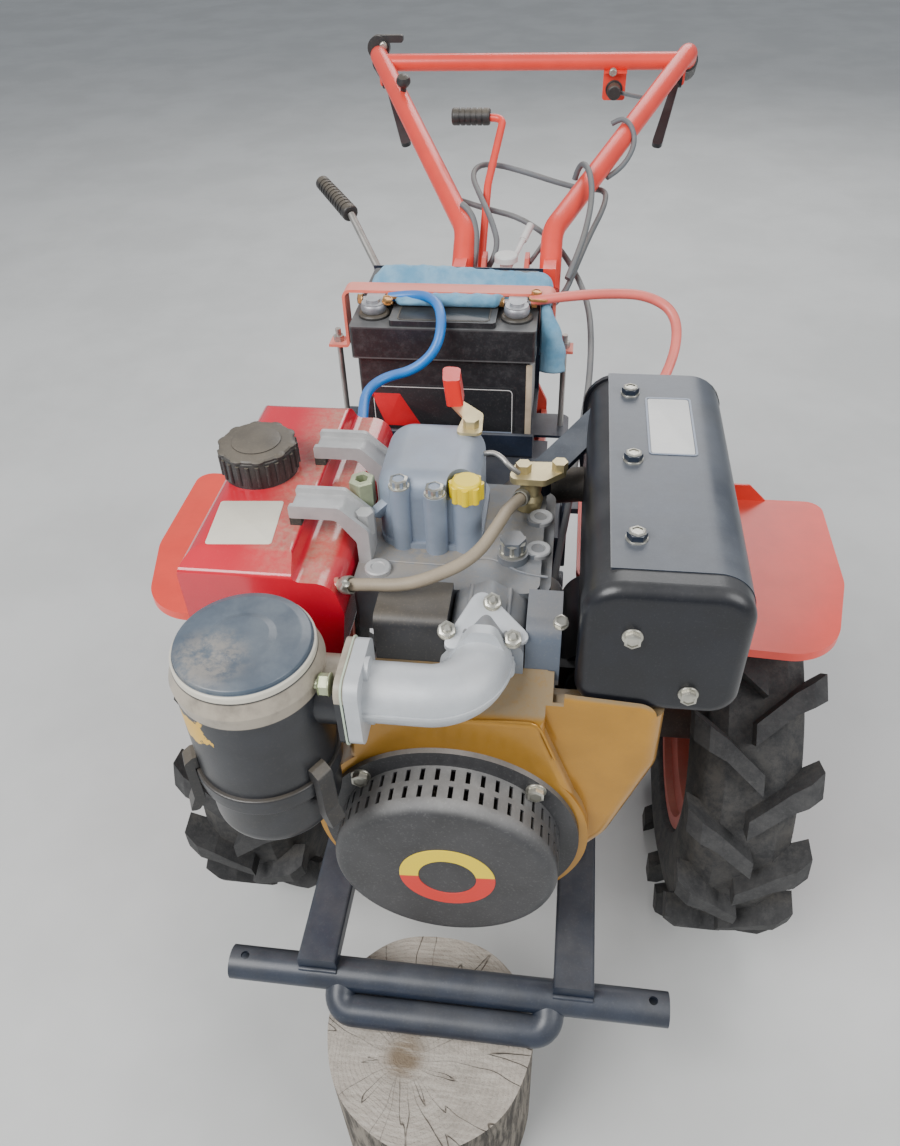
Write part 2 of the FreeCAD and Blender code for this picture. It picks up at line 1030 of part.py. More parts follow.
for spot_x in (frame_x - tie_bolt_spread, frame_x + tie_bolt_spread):
    for spot_z in (rail_top - tie_bolt_low, rail_top + tie_bolt_high):
        spot = Vector(spot_x, rails_back, spot_z)
        frame_pieces.append(hex_bolt(spot, Vector(0, -1, 0), tie_bolt_across, tie_bolt_height))
core = rod(cross_start, cross_end, bumper_radius - bumper_wall)
stud_holes = []
for side in (-1, 1):
    hole = Vector(frame_x + side * (half_bumper - bumper_hole_inset), bumper_y, bumper_z)
    rise = Vector(0, 0, 2 * bumper_radius)
    stud_holes.append(rod(hole - rise, hole + rise, bumper_hole_radius))
save("front_frame", fuse(frame_pieces).cut([core] + stud_holes))

# Sawn log under the bow
stump_top = bow_z - bow_radius
stump_x = frame_x - stump_offset
stump_y = behind(-stump_ahead)
bark = []
for index in range(stump_points):
    turn = 2 * pi * index / stump_points
    reach = stump_radius - stump_wave * (1 - cos(3 * turn)) - stump_dent * (1 - cos(7 * turn))
    bark.append(Vector(stump_x + reach * sin(turn), stump_y - reach * cos(turn), 0))
bark_line = Part.BSplineCurve()
bark_line.interpolate(Points=bark, PeriodicFlag=True)
log_face = Part.Face(Part.Wire([bark_line.toShape()]))
save("log_stand", log_face.extrude(Vector(0, 0, stump_top)))

# Crankcase on its feet, with a round cover on each side
case_start = fan_front + fan_cover_depth + shroud_depth
case_front = behind(case_start)
case_end = case_start + case_length
case_back = behind(case_end)
case_left = crank_x + case_half
case_right = crank_x - case_half
case_top = crank_z + case_rise
case_pieces = [
    seen_from_front(
        [
            (case_right, case_top, case_round),
            (case_left, case_top, case_round),
            (case_left, crank_z - case_waist, case_round),
            (crank_x + sump_half, bed_top + sump_height, case_round),
            (crank_x - sump_half, bed_top + sump_height, case_round),
            (case_right, crank_z - case_waist, case_round),
        ],
        case_front,
        case_back,
    )
]
for bed_start in bed_places:
    foot_front = behind(bed_start + foot_inset)
    foot_back = behind(bed_start + bed_plate_length - foot_inset)
    case_pieces.append(
        seen_from_front(
            [
                (case_right - foot_spread, bed_top),
                (case_left + foot_spread, bed_top),
                (case_left + foot_spread, bed_top + foot_slope, 3),
                (crank_x + sump_half, bed_top + foot_height, 6),
                (crank_x - sump_half, bed_top + foot_height, 6),
                (case_right - foot_spread, bed_top + foot_slope, 3),
            ],
            foot_front,
            foot_back,
        )
    )
for side in (-1, 1):
    case_pieces.append(
        turned(
            [
                (0, 0),
                (0, side_cover_radius),
                (side_cover_step, side_cover_radius, 2),
                (side_cover_depth, side_cover_radius - side_cover_step, 3),
                (side_cover_depth, 0),
            ],
            Vector(crank_x + side * case_half, case_front + side_cover_behind, crank_z - side_cover_drop),
            Vector(side, 0, 0),
        )
    )
crankcase = fuse(case_pieces)
save("crankcase", crankcase)

# Finned cylinder between crankcase and head
head_base = head_top - head_depth
cylinder_y = case_front + cylinder_behind
cylinder_foot = Vector(crank_x, cylinder_y, case_top)
barrel_pieces = [rod(cylinder_foot, Vector(crank_x, cylinder_y, head_base), cylinder_radius)]
cylinder_place = case_start + cylinder_behind
for index in range(fin_count):
    fin_z = case_top + fin_start + index * fin_pitch
    if fin_z + fin_thickness < head_base:
        barrel_pieces.append(
            seen_from_above(
                [
                    (crank_x - fin_half, cylinder_place - fin_front, fin_round),
                    (crank_x + fin_half, cylinder_place - fin_front, fin_round),
                    (crank_x + fin_half, cylinder_place + fin_back, fin_round),
                    (crank_x - fin_half, cylinder_place + fin_back, fin_round),
                ],
                fin_z,
                fin_z + fin_thickness,
            )
        )
save("cylinder", fuse(barrel_pieces))

# Cylinder head with its side fins, nut boss and intake port block
head_left = crank_x + head_left_side
head_right = crank_x - head_right_side
head = seen_from_above(
    [
        (head_right, head_front, 4),
        (head_left, head_front, head_round),
        (head_left, head_back, head_round),
        (head_right, head_back, 4),
    ],
    head_base,
    head_top,
)
head_pieces = [head]
for index in range(head_fin_count):
    fin_z = head_base + head_fin_start + index * head_fin_pitch
    head_pieces.append(
        seen_from_above(
            [
                (head_right, head_front + head_fin_out, 4),
                (head_left + head_fin_out, head_front + head_fin_out, head_round),
                (head_left + head_fin_out, head_back + head_fin_back, head_round),
                (head_right, head_back + head_fin_back, 4),
            ],
            fin_z,
            fin_z + head_fin_thickness,
        )
    )
port_y = behind(port_face)
head_pieces.append(
    seen_from_front(
        [
            (crank_x + port_left, port_low),
            (crank_x + port_left, port_left_top, port_round),
            (crank_x + port_ridge, port_ridge_top, port_round),
            (crank_x + port_right, port_right_top, port_round),
            (crank_x + port_right, port_low),
        ],
        port_y,
        behind(head_front),
    )
)
for line_out in port_line_out:
    if line_out < port_ridge:
        share = (line_out - port_left) / (port_ridge - port_left)
        line_z = port_left_top + share * (port_ridge_top - port_left_top)
    else:
        share = (line_out - port_ridge) / (port_right - port_ridge)
        line_z = port_ridge_top + share * (port_right_top - port_ridge_top)
    line_start = Vector(crank_x + line_out, port_y + port_line_inset, line_z)
    line_end = Vector(crank_x + line_out, behind(head_front), line_z)
    head_pieces.append(rod(line_start, line_end, port_line_radius))
nut_spot = Vector(crank_x + nut_boss_out, behind(nut_boss_behind), head_top)
nut_seat = nut_spot + Vector(0, 0, nut_boss_height)
head_pieces.append(rod(nut_spot, nut_seat, nut_boss_radius))
head_pieces.append(hex_bolt(nut_seat, Vector(0, 0, 1), nut_across, nut_height))
for boss_out, boss_behind in round_bosses:
    boss = Vector(crank_x + boss_out, behind(boss_behind), head_top - round_boss_height)
    rise = Vector(0, 0, 2 * round_boss_height)
    head_pieces.append(rod(boss, boss + rise, round_boss_radius))
cylinder_head = fuse(head_pieces)
save("cylinder_head", cylinder_head)

# Pressed air guides on both sides of the port block
guide_y = behind(guide_face)
left_start = crank_x + port_right + guide_gap
right_end = crank_x + port_left - guide_gap
guide_sizes = (
    (left_start, left_start + guide_left_width, guide_left_rise, guide_left_round),
    (right_end - guide_right_width, right_end, guide_right_rise, guide_right_round),
)
guides = []
for guide_right_x, guide_left_x, rise, guide_round in guide_sizes:
    guide = box(guide_right_x, guide_left_x, guide_y, behind(guide_back), head_base, head_top + rise)
    guide = rounded(
        guide,
        guide_round,
        lambda bounds: bounds.YMax < guide_y + 0.1 and bounds.ZMin > head_base + 0.1,
    )
    guides.append(guide)
save("head_air_guides", Part.Compound(guides))

# Rocker cover: domed box with two bolt columns and a filler neck
rocker_x = crank_x + rocker_offset
rocker_right = rocker_x - rocker_half
rocker_left = rocker_x + rocker_half
rocker_top = head_top + rocker_height
dome = seen_from_above(
    [
        (rocker_right, rocker_front, rocker_corner),
        (rocker_left, rocker_front, rocker_corner),
        (rocker_left, rocker_back, rocker_corner),
        (rocker_right, rocker_back, rocker_corner),
    ],
    head_top,
    rocker_top,
)
dome = rounded(dome, rocker_dome, lambda bounds: bounds.ZMin > rocker_top - 0.1)
filler_base = Vector(rocker_x + filler_out, behind(rocker_front + filler_behind), head_top)
filler_top = filler_base + Vector(0, 0, filler_height)
cap_space = rod(filler_top, filler_top + Vector(0, 0, rocker_height), filler_radius + filler_relief)
rocker_pieces = [dome.cut(cap_space), rod(filler_base, filler_top, filler_radius)]
for spot_x, spot_y, height, radius in column_spots:
    base = Vector(rocker_x + spot_x, behind(rocker_front + spot_y), head_top)
    top = base + Vector(0, 0, height)
    rocker_pieces.append(rod(base, top, radius))
    rocker_pieces.append(hex_bolt(top, Vector(0, 0, 1), column_bolt_across, column_bolt_height))
rocker_pieces.append(
    seen_from_above(
        [
            (rocker_right, rocker_front - rocker_flange, rocker_corner),
            (rocker_left + rocker_flange, rocker_front - rocker_flange, rocker_corner),
            (rocker_left + rocker_flange, rocker_back, rocker_corner),
            (rocker_right, rocker_back, rocker_corner),
        ],
        head_top,
        head_top + rocker_flange_height,
    )
)
save("rocker_cover", fuse(rocker_pieces))
filler_cap = turned(
    [(0, 0), (0, filler_radius), (cap_height, filler_radius, cap_edge), (cap_height, 0)],
    filler_top,
    Vector(0, 0, 1),
)
cap_pieces = [filler_cap]
for index in range(cap_lobes):
    angle = 2 * pi * index / cap_lobes
    spot = filler_top + Vector(cap_lobe_ring * cos(angle), cap_lobe_ring * sin(angle), 0)
    cap_pieces.append(rod(spot, spot + Vector(0, 0, cap_lobe_height), cap_lobe_radius))
save("oil_filler_cap", fuse(cap_pieces))

# Decompression lever: bent strip on the rocker cover's back corner with a plastic grip
strip_x = rocker_x + strip_out
strip_place = rocker_back - strip_ahead
strip = seen_from_above(
    [
        (strip_x - 12, strip_place - 22, 6),
        (strip_x + 14, strip_place - 22, 6),
        (strip_x + 12, strip_place + 16, 10),
        (strip_x - 16, strip_place + 44, 4),
        (strip_x - 26, strip_place + 36, 4),
        (strip_x - 8, strip_place + 8, 8),
    ],
    rocker_top,
    rocker_top + strip_thickness,
)
strip_face = rocker_top + strip_thickness
pivot_spot = Vector(strip_x + 2, behind(strip_place - 8), strip_face)
pivot = hex_bolt(pivot_spot, Vector(0, 0, 1), strip_pivot_across, strip_pivot_height)
save("decompression_lever", fuse([strip, pivot]))
grip_start = Vector(strip_x - 18, behind(strip_place + 36), strip_face)
grip = plate(
    [
        (grip_start + Vector(-9, -10, 0), 4),
        (grip_start + Vector(8, -8, 0), 4),
        (grip_start + Vector(6, 20, 0), 6),
        (grip_start + Vector(-13, 22, 0), 6),
    ],
    Vector(-4, 6, grip_rise),
)
save("decompression_grip", grip)

# Injector under its clamp plate
injector_low = Vector(crank_x + injector_out, behind(injector_behind), head_top)
injector_top = injector_low + Vector(injector_lean, 2, injector_height)
clamp_plate = plate(
    [
        (injector_top + Vector(-25, -15, 0), 8),
        (injector_top + Vector(12, -16, 0), 8),
        (injector_top + Vector(36, 6, 0), 8),
        (injector_top + Vector(26, 18, 0), 8),
        (injector_top + Vector(-18, 16, 0), 8),
    ],
    Vector(0, 0, clamp_thickness),
)
injector_way = injector_top - injector_low
injector_body = turned(
    [
        (0, 0),
        (0, injector_radius),
        (injector_way.Length / 3, injector_radius, 2),
        (injector_way.Length / 2, injector_waist, 2),
        (injector_way.Length + 2, injector_waist),
        (injector_way.Length + 2, 0),
    ],
    injector_low,
    injector_way,
)
injector_pieces = [clamp_plate, injector_body]
for spot in (Vector(-10, 0, clamp_thickness), Vector(26, 6, clamp_thickness)):
    bolt = hex_bolt(injector_top + spot, Vector(0, 0, 1), clamp_bolt_across, clamp_bolt_height)
    injector_pieces.append(bolt)
injector = fuse(injector_pieces).cut(cylinder_head)
save("injector", injector)

# Fan shroud: a panel round the fan and a deep lobe to the machine's left, with a sloping top
shroud_start = fan_front + fan_cover_depth
shroud_end = shroud_start + shroud_depth
shroud_front = behind(shroud_start)
shroud_back = behind(shroud_end)
shroud_top = head_top - shroud_drop
panel = seen_from_front(
    [
        (crank_x - shroud_half, shroud_top, 16),
        (crank_x + panel_right, shroud_top, 16),
        (crank_x + panel_right, crank_z + 160, 20),
        (crank_x + ring_radius - 16, crank_z + 64, 40),
        (crank_x + shroud_half, crank_z - 106, 20),
        (crank_x, crank_z - ring_radius + 28, 20),
        (crank_x - shroud_half, crank_z - 100, 10),
        (crank_x - ring_radius + 1, crank_z, 20),
        (crank_x - shroud_half, crank_z + 100, 30),
    ],
    shroud_front,
    shroud_back,
)
panel = rounded(panel, shroud_edge, lambda bounds: bounds.YMax < shroud_front + 0.1)
lobe_front = shroud_front + lobe_set_back
lobe = seen_from_front(
    [
        (crank_x + lobe_start, lobe_top + 8),
        (crank_x + 118, lobe_top + 2, 40),
        (crank_x + lobe_right - 1, lobe_top - 4, 26),
        (crank_x + lobe_right, crank_z + 110, 40),
        (crank_x + 160, crank_z - 10, 60),
        (crank_x + shroud_half, crank_z - 106, 20),
        (crank_x + lobe_start, crank_z - 106),
    ],
    lobe_front,
    shroud_back,
)
outer_edges = lambda bounds: bounds.YMax < lobe_front + 0.1 and bounds.XMax > crank_x + lobe_start + 1
lobe = rounded(lobe, lobe_edge, outer_edges)
ring = rod(Vector(crank_x, shroud_front, crank_z), Vector(crank_x, shroud_back, crank_z), ring_radius)
fan_space = rod(
    Vector(crank_x, shroud_front - 1, crank_z),
    Vector(crank_x, shroud_back - shroud_back_wall, crank_z),
    shroud_opening_radius,
)
above_slope = seen_from_side(
    [
        (shroud_start - 1, slope_low - 2 * slope_round),
        (shroud_start, slope_low - 2 * slope_round),
        (shroud_start, slope_low, slope_round),
        (guide_face, slope_top),
        (guide_face, shroud_top + 1),
        (shroud_start - 1, shroud_top + 1),
    ],
    crank_x - 2 * shroud_half,
    crank_x + slope_reach,
)
shaft_space = rod(
    Vector(crank_x, shroud_front, crank_z),
    Vector(crank_x, shroud_back + 1, crank_z),
    shaft_opening_radius,
)
guide_space = box(
    crank_x - 2 * ring_radius,
    crank_x + 2 * ring_radius,
    guide_y - shroud_gap,
    shroud_back + 1,
    case_top - fin_pitch,
    shroud_top + 2 * slope_round,
)
muffler_space = box(
    crank_x + shroud_half,
    crank_x + 2 * ring_radius,
    behind(muffler_front) - muffler_air,
    shroud_back + 1,
    muffler_low - muffler_rest,
    shroud_top + 2 * slope_round,
)
shroud = fuse([panel, lobe, ring]).cut([fan_space, above_slope, shaft_space, guide_space, muffler_space])
save("fan_shroud", shroud)

# Fan cover: drum with two rows of slots and its bolted flange
cover_front = behind(fan_front)
cover_back = cover_front + fan_cover_depth
flange_start = fan_cover_depth - fan_flange_thickness
cover = turned(
    [
        (0, 0),
        (0, fan_cover_radius, fan_cover_round),
        (flange_start, fan_cover_radius),
        (flange_start, fan_flange_radius),
        (fan_cover_depth, fan_flange_radius),
        (fan_cover_depth, fan_cover_radius - fan_cover_wall),
        (fan_cover_wall, fan_cover_radius - fan_cover_wall, fan_cover_round - fan_cover_wall),
        (fan_cover_wall, 0),
    ],
    Vector(crank_x, cover_front, crank_z),
    Vector(0, 1, 0),
)
slots = []
for row in range(2):
    slot_front = cover_front + slot_start + row * slot_pitch
    for index in range(slots_per_row):
        angle = 360.0 * (index + 0.5) / slots_per_row
        if slots_left_out[0] < angle < slots_left_out[1]:
            continue
        slot = box(
            fan_cover_radius - 3 * fan_cover_wall,
            fan_cover_radius + fan_cover_wall,
            slot_front,
            slot_front + slot_length,
            -slot_width / 2,
            slot_width / 2,
        )
        slot.rotate(Vector(0, 0, 0), Vector(0, 1, 0), -angle)
        slot.translate(Vector(crank_x, 0, crank_z))
        slots.append(slot)
cover_pieces = [cover.cut(slots)]
for angle in cover_bolt_angles:
    out = cover_bolt_ring * cos(radians(angle))
    rise = cover_bolt_ring * sin(radians(angle))
    spot = Vector(crank_x + out, cover_front + flange_start, crank_z + rise)
    cover_pieces.append(hex_bolt(spot, Vector(0, -1, 0), cover_bolt_across, cover_bolt_height))
save("fan_cover", fuse(cover_pieces))

# Fan behind the cover
fan_disc_back = shroud_back - shroud_back_wall
fan_pieces = [
    rod(
        Vector(crank_x, cover_back + fan_disc_gap, crank_z),
        Vector(crank_x, fan_disc_back, crank_z),
        fan_disc_radius,
    ),
    rod(Vector(crank_x, fan_disc_back, crank_z), Vector(crank_x, case_front, crank_z), fan_shaft_radius),
    rod(
        Vector(crank_x, cover_front + fan_boss_gap, crank_z),
        Vector(crank_x, cover_back + fan_disc_gap, crank_z),
        fan_boss_radius,
    ),
]
for index in range(blade_count):
    blade = box(
        blade_inner,
        blade_outer,
        cover_back - blade_reach,
        cover_back + fan_disc_gap + 2,
        -blade_thickness / 2,
        blade_thickness / 2,
    )
    blade.rotate(Vector(0, 0, 0), Vector(0, 1, 0), 360.0 * index / blade_count)
    blade.translate(Vector(crank_x, 0, crank_z))
    fan_pieces.append(blade)
save("flywheel_fan", fuse(fan_pieces))

# Intake elbow from the port block round to the air cleaner, with its casting ridge
flange_centre = Vector(crank_x + elbow_out, port_y, elbow_z)
elbow_corner = Vector(crank_x + elbow_out, behind(elbow_behind), elbow_z)
elbow_end = Vector(crank_x + elbow_end_out, behind(elbow_behind), elbow_z)
elbow_path = [(flange_centre, 0), (elbow_corner, elbow_bend), (elbow_end, 0)]
elbow = bent_tube(elbow_path, elbow_radius)
ridge_slice = box(
    elbow_end.x,
    flange_centre.x + 2 * elbow_radius,
    elbow_end.y - 2 * elbow_radius,
    port_y,
    elbow_z - elbow_ridge_height / 2,
    elbow_z + elbow_ridge_height / 2,
)
ridge = bent_tube(elbow_path, elbow_radius + elbow_ridge).common(ridge_slice)
elbow_flange = plate(
    [
        (flange_centre + Vector(-46, 0, -18), 10),
        (flange_centre + Vector(34, 0, -18), 10),
        (flange_centre + Vector(12, 0, 38), 10),
        (flange_centre + Vector(-8, 0, 38), 10),
    ],
    Vector(0, -port_flange_thickness, 0),
)


def end_plate(start_x, end_x):
    """Upright flange across the elbow's end, between two places along X."""
    low = elbow_z - end_flange_rise
    high = elbow_z + end_flange_rise
    near = elbow_end.y - end_flange_half
    far = elbow_end.y + end_flange_half
    corners = [(near, low), (far, low), (far, high), (near, high)]
    outline = [(Vector(start_x, place, height), end_flange_round) for place, height in corners]
    return plate(outline, Vector(end_x - start_x, 0, 0))


end_flange = end_plate(elbow_end.x - end_flange_thickness, elbow_end.x)
elbow_pieces = [elbow, ridge, elbow_flange, end_flange]
for rise in (end_flange_rise - end_boss_radius, end_boss_radius - end_flange_rise):
    boss = Vector(elbow_end.x, elbow_end.y, elbow_z + rise)
    boss_end = boss + Vector(end_boss_length - end_flange_thickness, 0, 0)
    elbow_pieces.append(rod(boss, boss_end, end_boss_radius))
save("intake_elbow", fuse(elbow_pieces))

# Air cleaner: capped canister with its neck, clip ring and oil bowl
cleaner_x = crank_x + cleaner_out
cleaner_y = behind(cleaner_behind)
canister = turned(
    [
        (cleaner_mid, 0),
        (cleaner_mid, body_radius + cleaner_bead_out),
        (cleaner_mid + cleaner_bead_height, body_radius + cleaner_bead_out, 2),
        (cleaner_mid + cleaner_bead_height, body_radius),
        (cleaner_top - 44, body_radius, 6),
        (cleaner_top - 30, cleaner_cap_radius + cleaner_skirt_out, 3),
        (cleaner_top - 16, cleaner_cap_radius + cleaner_rim_out, 2),
        (cleaner_top - 9, cleaner_cap_radius + cleaner_rim_out, 2),
        (cleaner_top - 9, cleaner_cap_radius),
        (cleaner_top - 5, cleaner_cap_radius, 2),
        (cleaner_top - 2, cleaner_cap_radius - 8, 6),
        (cleaner_top - 2, cleaner_cap_radius / 2, 2),
        (cleaner_top, cleaner_cap_radius / 2 - 6, 2),
        (cleaner_top, 0),
    ],
    Vector(cleaner_x, cleaner_y, 0),
    Vector(0, 0, 1),
)
neck_start = elbow_end.x - end_flange_thickness
neck = rod(
    Vector(neck_start, elbow_end.y, elbow_z),
    Vector(cleaner_x + body_radius / 2, elbow_end.y, elbow_z),
    neck_radius,
)
neck_flange = end_plate(neck_start - neck_flange_thickness, neck_start)
save("air_cleaner_body", fuse([canister, neck, neck_flange]))
bowl = turned(
    [
        (cleaner_low, 0),
        (cleaner_low, body_radius - bowl_foot_inset, 12),
        (cleaner_low + bowl_shoulder, body_radius - bowl_inset, 20),
        (cleaner_mid - cleaner_bead_height, body_radius - bowl_inset),
        (cleaner_mid - cleaner_bead_height, body_radius + bowl_inset, 2),
        (cleaner_mid, body_radius + bowl_inset),
        (cleaner_mid, 0),
    ],
    Vector(cleaner_x, cleaner_y, 0),
    Vector(0, 0, 1),
)
save("air_cleaner_bowl", bowl)
clip_root = body_radius + cleaner_bead_out
clip_line = [
    (clip_root, cleaner_mid - 34, 2),
    (clip_root + 8, cleaner_mid - 46, 5),
    (clip_root + 16, cleaner_mid - 44, 2),
    (clip_root + 9, cleaner_mid - 28, 8),
    (clip_root + 8, cleaner_mid + 20, 5),
    (clip_root, cleaner_mid + 26, 2),
    (body_radius, cleaner_mid + 26, 0),
    (body_radius, cleaner_mid + cleaner_bead_height + 2, 0),
    (clip_root, cleaner_mid + cleaner_bead_height + 2, 0),
]
clips = []
for angle in clip_angles:
    corners = [(Vector(item[0], -clip_width / 2, item[1]), item[2]) for item in clip_line]
    clip = plate(corners, Vector(0, clip_width, 0))
    clip.rotate(Vector(0, 0, 0), Vector(0, 0, 1), angle)
    clip.translate(Vector(cleaner_x, cleaner_y, 0))
    clips.append(clip)
save("air_cleaner_clips", Part.Compound(clips))

# Fuel tank: a browed body and a lower shoulder beyond its seam, towards the engine
tank_side = seen_from_side(
    [
        (tank_front, tank_low, tank_end_round),
        (tank_front, tank_top - tank_brow_drop, 6),
        (tank_front + tank_brow, tank_top, 10),
        (tank_back, tank_top, tank_end_round),
        (tank_back, tank_low, tank_end_round),
    ],
    tank_left - 1,
    tank_shoulder + 1,
)
tank_section = seen_from_front(
    [
        (tank_left, tank_low, 26),
        (tank_left, tank_top, 20),
        (tank_right - seam_width, tank_top, 4),
        (tank_right, tank_top - shoulder_drop_z, 8),
        (tank_shoulder - shoulder_lean, tank_top - shoulder_drop_z, 20),
        (tank_shoulder, tank_top - 3 * shoulder_drop_z, 20),
        (tank_shoulder - shoulder_lean, tank_low + 26, 24),
        (tank_right, tank_low, 20),
    ],
    behind(tank_front) - 1,
    behind(tank_back) + 1,
)
outlet = rod(
    Vector(tank_shoulder - outlet_inset - outlet_depth, behind(outlet_behind), outlet_z),
    Vector(tank_shoulder - outlet_inset, behind(outlet_behind), outlet_z),
    outlet_radius,
)
tank = fuse([tank_side.common(tank_section), outlet])
save("fuel_tank", tank)
tank_cap_foot = Vector(tank_cap_x, behind(tank_cap_behind), tank_top)
fuel_cap = turned(
    [
        (0, 0),
        (0, tank_cap_radius),
        (tank_cap_height, tank_cap_radius, tank_cap_edge),
        (tank_cap_height, tank_cap_dish_radius + 2, 2),
        (tank_cap_height - tank_cap_dish_depth, tank_cap_dish_radius, 1),
        (tank_cap_height - tank_cap_dish_depth, 0),
    ],
    tank_cap_foot,
    Vector(0, 0, 1),
)
cap_ribs = [fuel_cap]
for index in range(tank_cap_ribs):
    angle = 2 * pi * index / tank_cap_ribs
    rib_way = Vector(tank_cap_radius * cos(angle), tank_cap_radius * sin(angle), tank_cap_rib_gap)
    spot = tank_cap_foot + rib_way
    rib_height = tank_cap_height - 2 * tank_cap_rib_gap
    cap_ribs.append(rod(spot, spot + Vector(0, 0, rib_height), tank_cap_rib_radius))
save("fuel_cap", fuse(cap_ribs))

# Cast brackets that hook over the tank from the head, on rubber pads
bracket_low = tank_top + pad_height
foot_right = head_right + bracket_foot_inset
foot_left = foot_right + bracket_foot
foot_top = head_top + bracket_foot_rise


def bracket_slab(thickness, front, back):
    """Slab of a bracket's side view, of one thickness above its underside."""
    return seen_from_front(
        [
            (tank_right - bracket_hook, bracket_low, 2),
            (tank_right - bracket_hook, bracket_low + thickness, 3),
            (tank_right + bracket_reach, bracket_low + thickness, bracket_bend),
            (foot_left, foot_top + thickness - bracket_wall, bracket_bend),
            (foot_left, head_top),
            (foot_right, head_top),
            (foot_right, foot_top - bracket_wall, bracket_bend),
            (tank_right + bracket_reach - bracket_wall / 2, bracket_low, bracket_bend),
        ],
        behind(front),
        behind(back),
    )


brackets = []
tank_pads = []
for place in bracket_places:
    end = place + bracket_width
    tall = bracket_wall + bracket_rib_rise
    bracket_pieces = [
        bracket_slab(bracket_wall, place, end),
        bracket_slab(tall, place, place + bracket_rib),
        bracket_slab(tall, end - bracket_rib, end),
    ]
    if place == bracket_places[0]:
        stud_x = (foot_right + foot_left) / 2
        stud = Vector(stud_x, behind(place + bracket_width / 2), foot_top - bracket_bend)
        bracket_pieces.append(hex_bolt(stud, Vector(0, 0, 1), standoff_across, standoff_height))
    brackets.append(fuse(bracket_pieces))
    tank_pads.append(
        box(
            tank_right - bracket_hook,
            tank_right - bracket_hook + pad_length,
            behind(place),
            behind(end),
            tank_top,
            bracket_low,
        )
    )
save("tank_brackets", Part.Compound(brackets))
save("tank_pads", Part.Compound(tank_pads))

# Muffler: rounded box with a domed front cover, its bolted guard, a strap and the exhaust pipe
muffler_y = behind(muffler_front)


def can_section(out, front, back):
    return seen_from_front(
        [
            (muffler_right - out, muffler_low - out, muffler_low_round),
            (muffler_right - out, muffler_top + out, muffler_top_round),
            (muffler_left + out, muffler_top + out, muffler_top_round),
            (muffler_left + out, muffler_low - out, muffler_low_round),
        ],
        front,
        back,
    )


cover_end = muffler_y + muffler_cover_depth
front_cover = can_section(muffler_cover_out, muffler_y, cover_end)
front_cover = rounded(front_cover, muffler_cover_edge, lambda bounds: bounds.YMax < muffler_y + 0.1)
can = fuse([front_cover, can_section(0, muffler_y + muffler_cover_edge, behind(muffler_back))])
save("muffler", can)
guard_top = muffler_top + guard_thickness
guard_side = muffler_left + guard_thickness
guard = seen_from_front(
    [
        (muffler_right + guard_strip, guard_top),
        (guard_side, guard_top, guard_round),
        (guard_side, muffler_low + guard_skirt),
        (muffler_left, muffler_low + guard_skirt),
        (muffler_left, muffler_top, guard_round - guard_thickness + 1),
        (muffler_right + guard_strip, muffler_top),
    ],
    cover_end,
    behind(muffler_back),
).cut(can)
guard_pieces = [guard]
for place in guard_bolt_places:
    spot = Vector(muffler_right + guard_bolt_inset, behind(place), guard_top)
    guard_pieces.append(hex_bolt(spot, Vector(0, 0, 1), guard_bolt_across, guard_bolt_height))
guard = fuse(guard_pieces)
foot = Vector(strap_foot[0], behind(strap_foot[1]), head_top)
strap_start = foot + Vector(0, 0, strap_foot_height)
strap_end = Vector(muffler_right + strap_width, behind(strap_end_behind), strap_end_z)
strap_way = strap_end - strap_start
strap_turn = FreeCAD.Rotation(strap_way, Vector(0, 0, 0), Vector(0, 0, 1), "XZY")
strap = Part.makeBox(strap_way.Length, strap_width, strap_thickness, Vector(0, -strap_width / 2, 0))
strap.Placement = FreeCAD.Placement(strap_start, strap_turn)
strap = fuse([strap, rod(foot, strap_start + Vector(0, 0, strap_thickness), strap_foot_radius)])
save("muffler_guard", Part.Compound([guard, strap.cut([can, guard, injector])]))
exhaust_place = head_back + exhaust_back
exhaust_start = Vector(crank_x + exhaust_out, behind(head_back - 2 * exhaust_radius), head_top - exhaust_drop)
exhaust_corner = Vector(crank_x + exhaust_out, behind(exhaust_place), head_top - exhaust_drop)
exhaust_end = Vector(muffler_right + exhaust_bend, behind(exhaust_place), head_top - exhaust_end_drop)
exhaust_route = [(exhaust_start, 0), (exhaust_corner, exhaust_bend), (exhaust_end, 0)]
exhaust = bent_tube(exhaust_route, exhaust_radius)
save("exhaust_pipe", exhaust.cut([cylinder_head, can]))

# Electric starter with its solenoid beside the crankcase
starter = Vector(crank_x + starter_out, case_front + starter_behind, crank_z + starter_rise)
starter_motor = turned(
    [
        (-starter_nose, 0),
        (-starter_nose, starter_nose_radius, 4),
        (0, starter_nose_radius),
        (0, starter_radius),
        (starter_length, starter_radius, 4),
        (starter_length, 0),
    ],
    starter,
    Vector(0, 1, 0),
)
solenoid_low = starter + Vector(solenoid_out, solenoid_span[0], solenoid_rise)
solenoid_high = starter + Vector(solenoid_out, solenoid_span[1], solenoid_rise)
ear = box(
    case_left,
    starter.x,
    case_front + starter_ear_span[0],
    case_front + starter_ear_span[1],
    crank_z + starter_ear_rise[0],
    crank_z + starter_ear_rise[1],
)
starter_motor = fuse([starter_motor, rod(solenoid_low, solenoid_high, solenoid_radius), ear])
save("starter_motor", starter_motor)

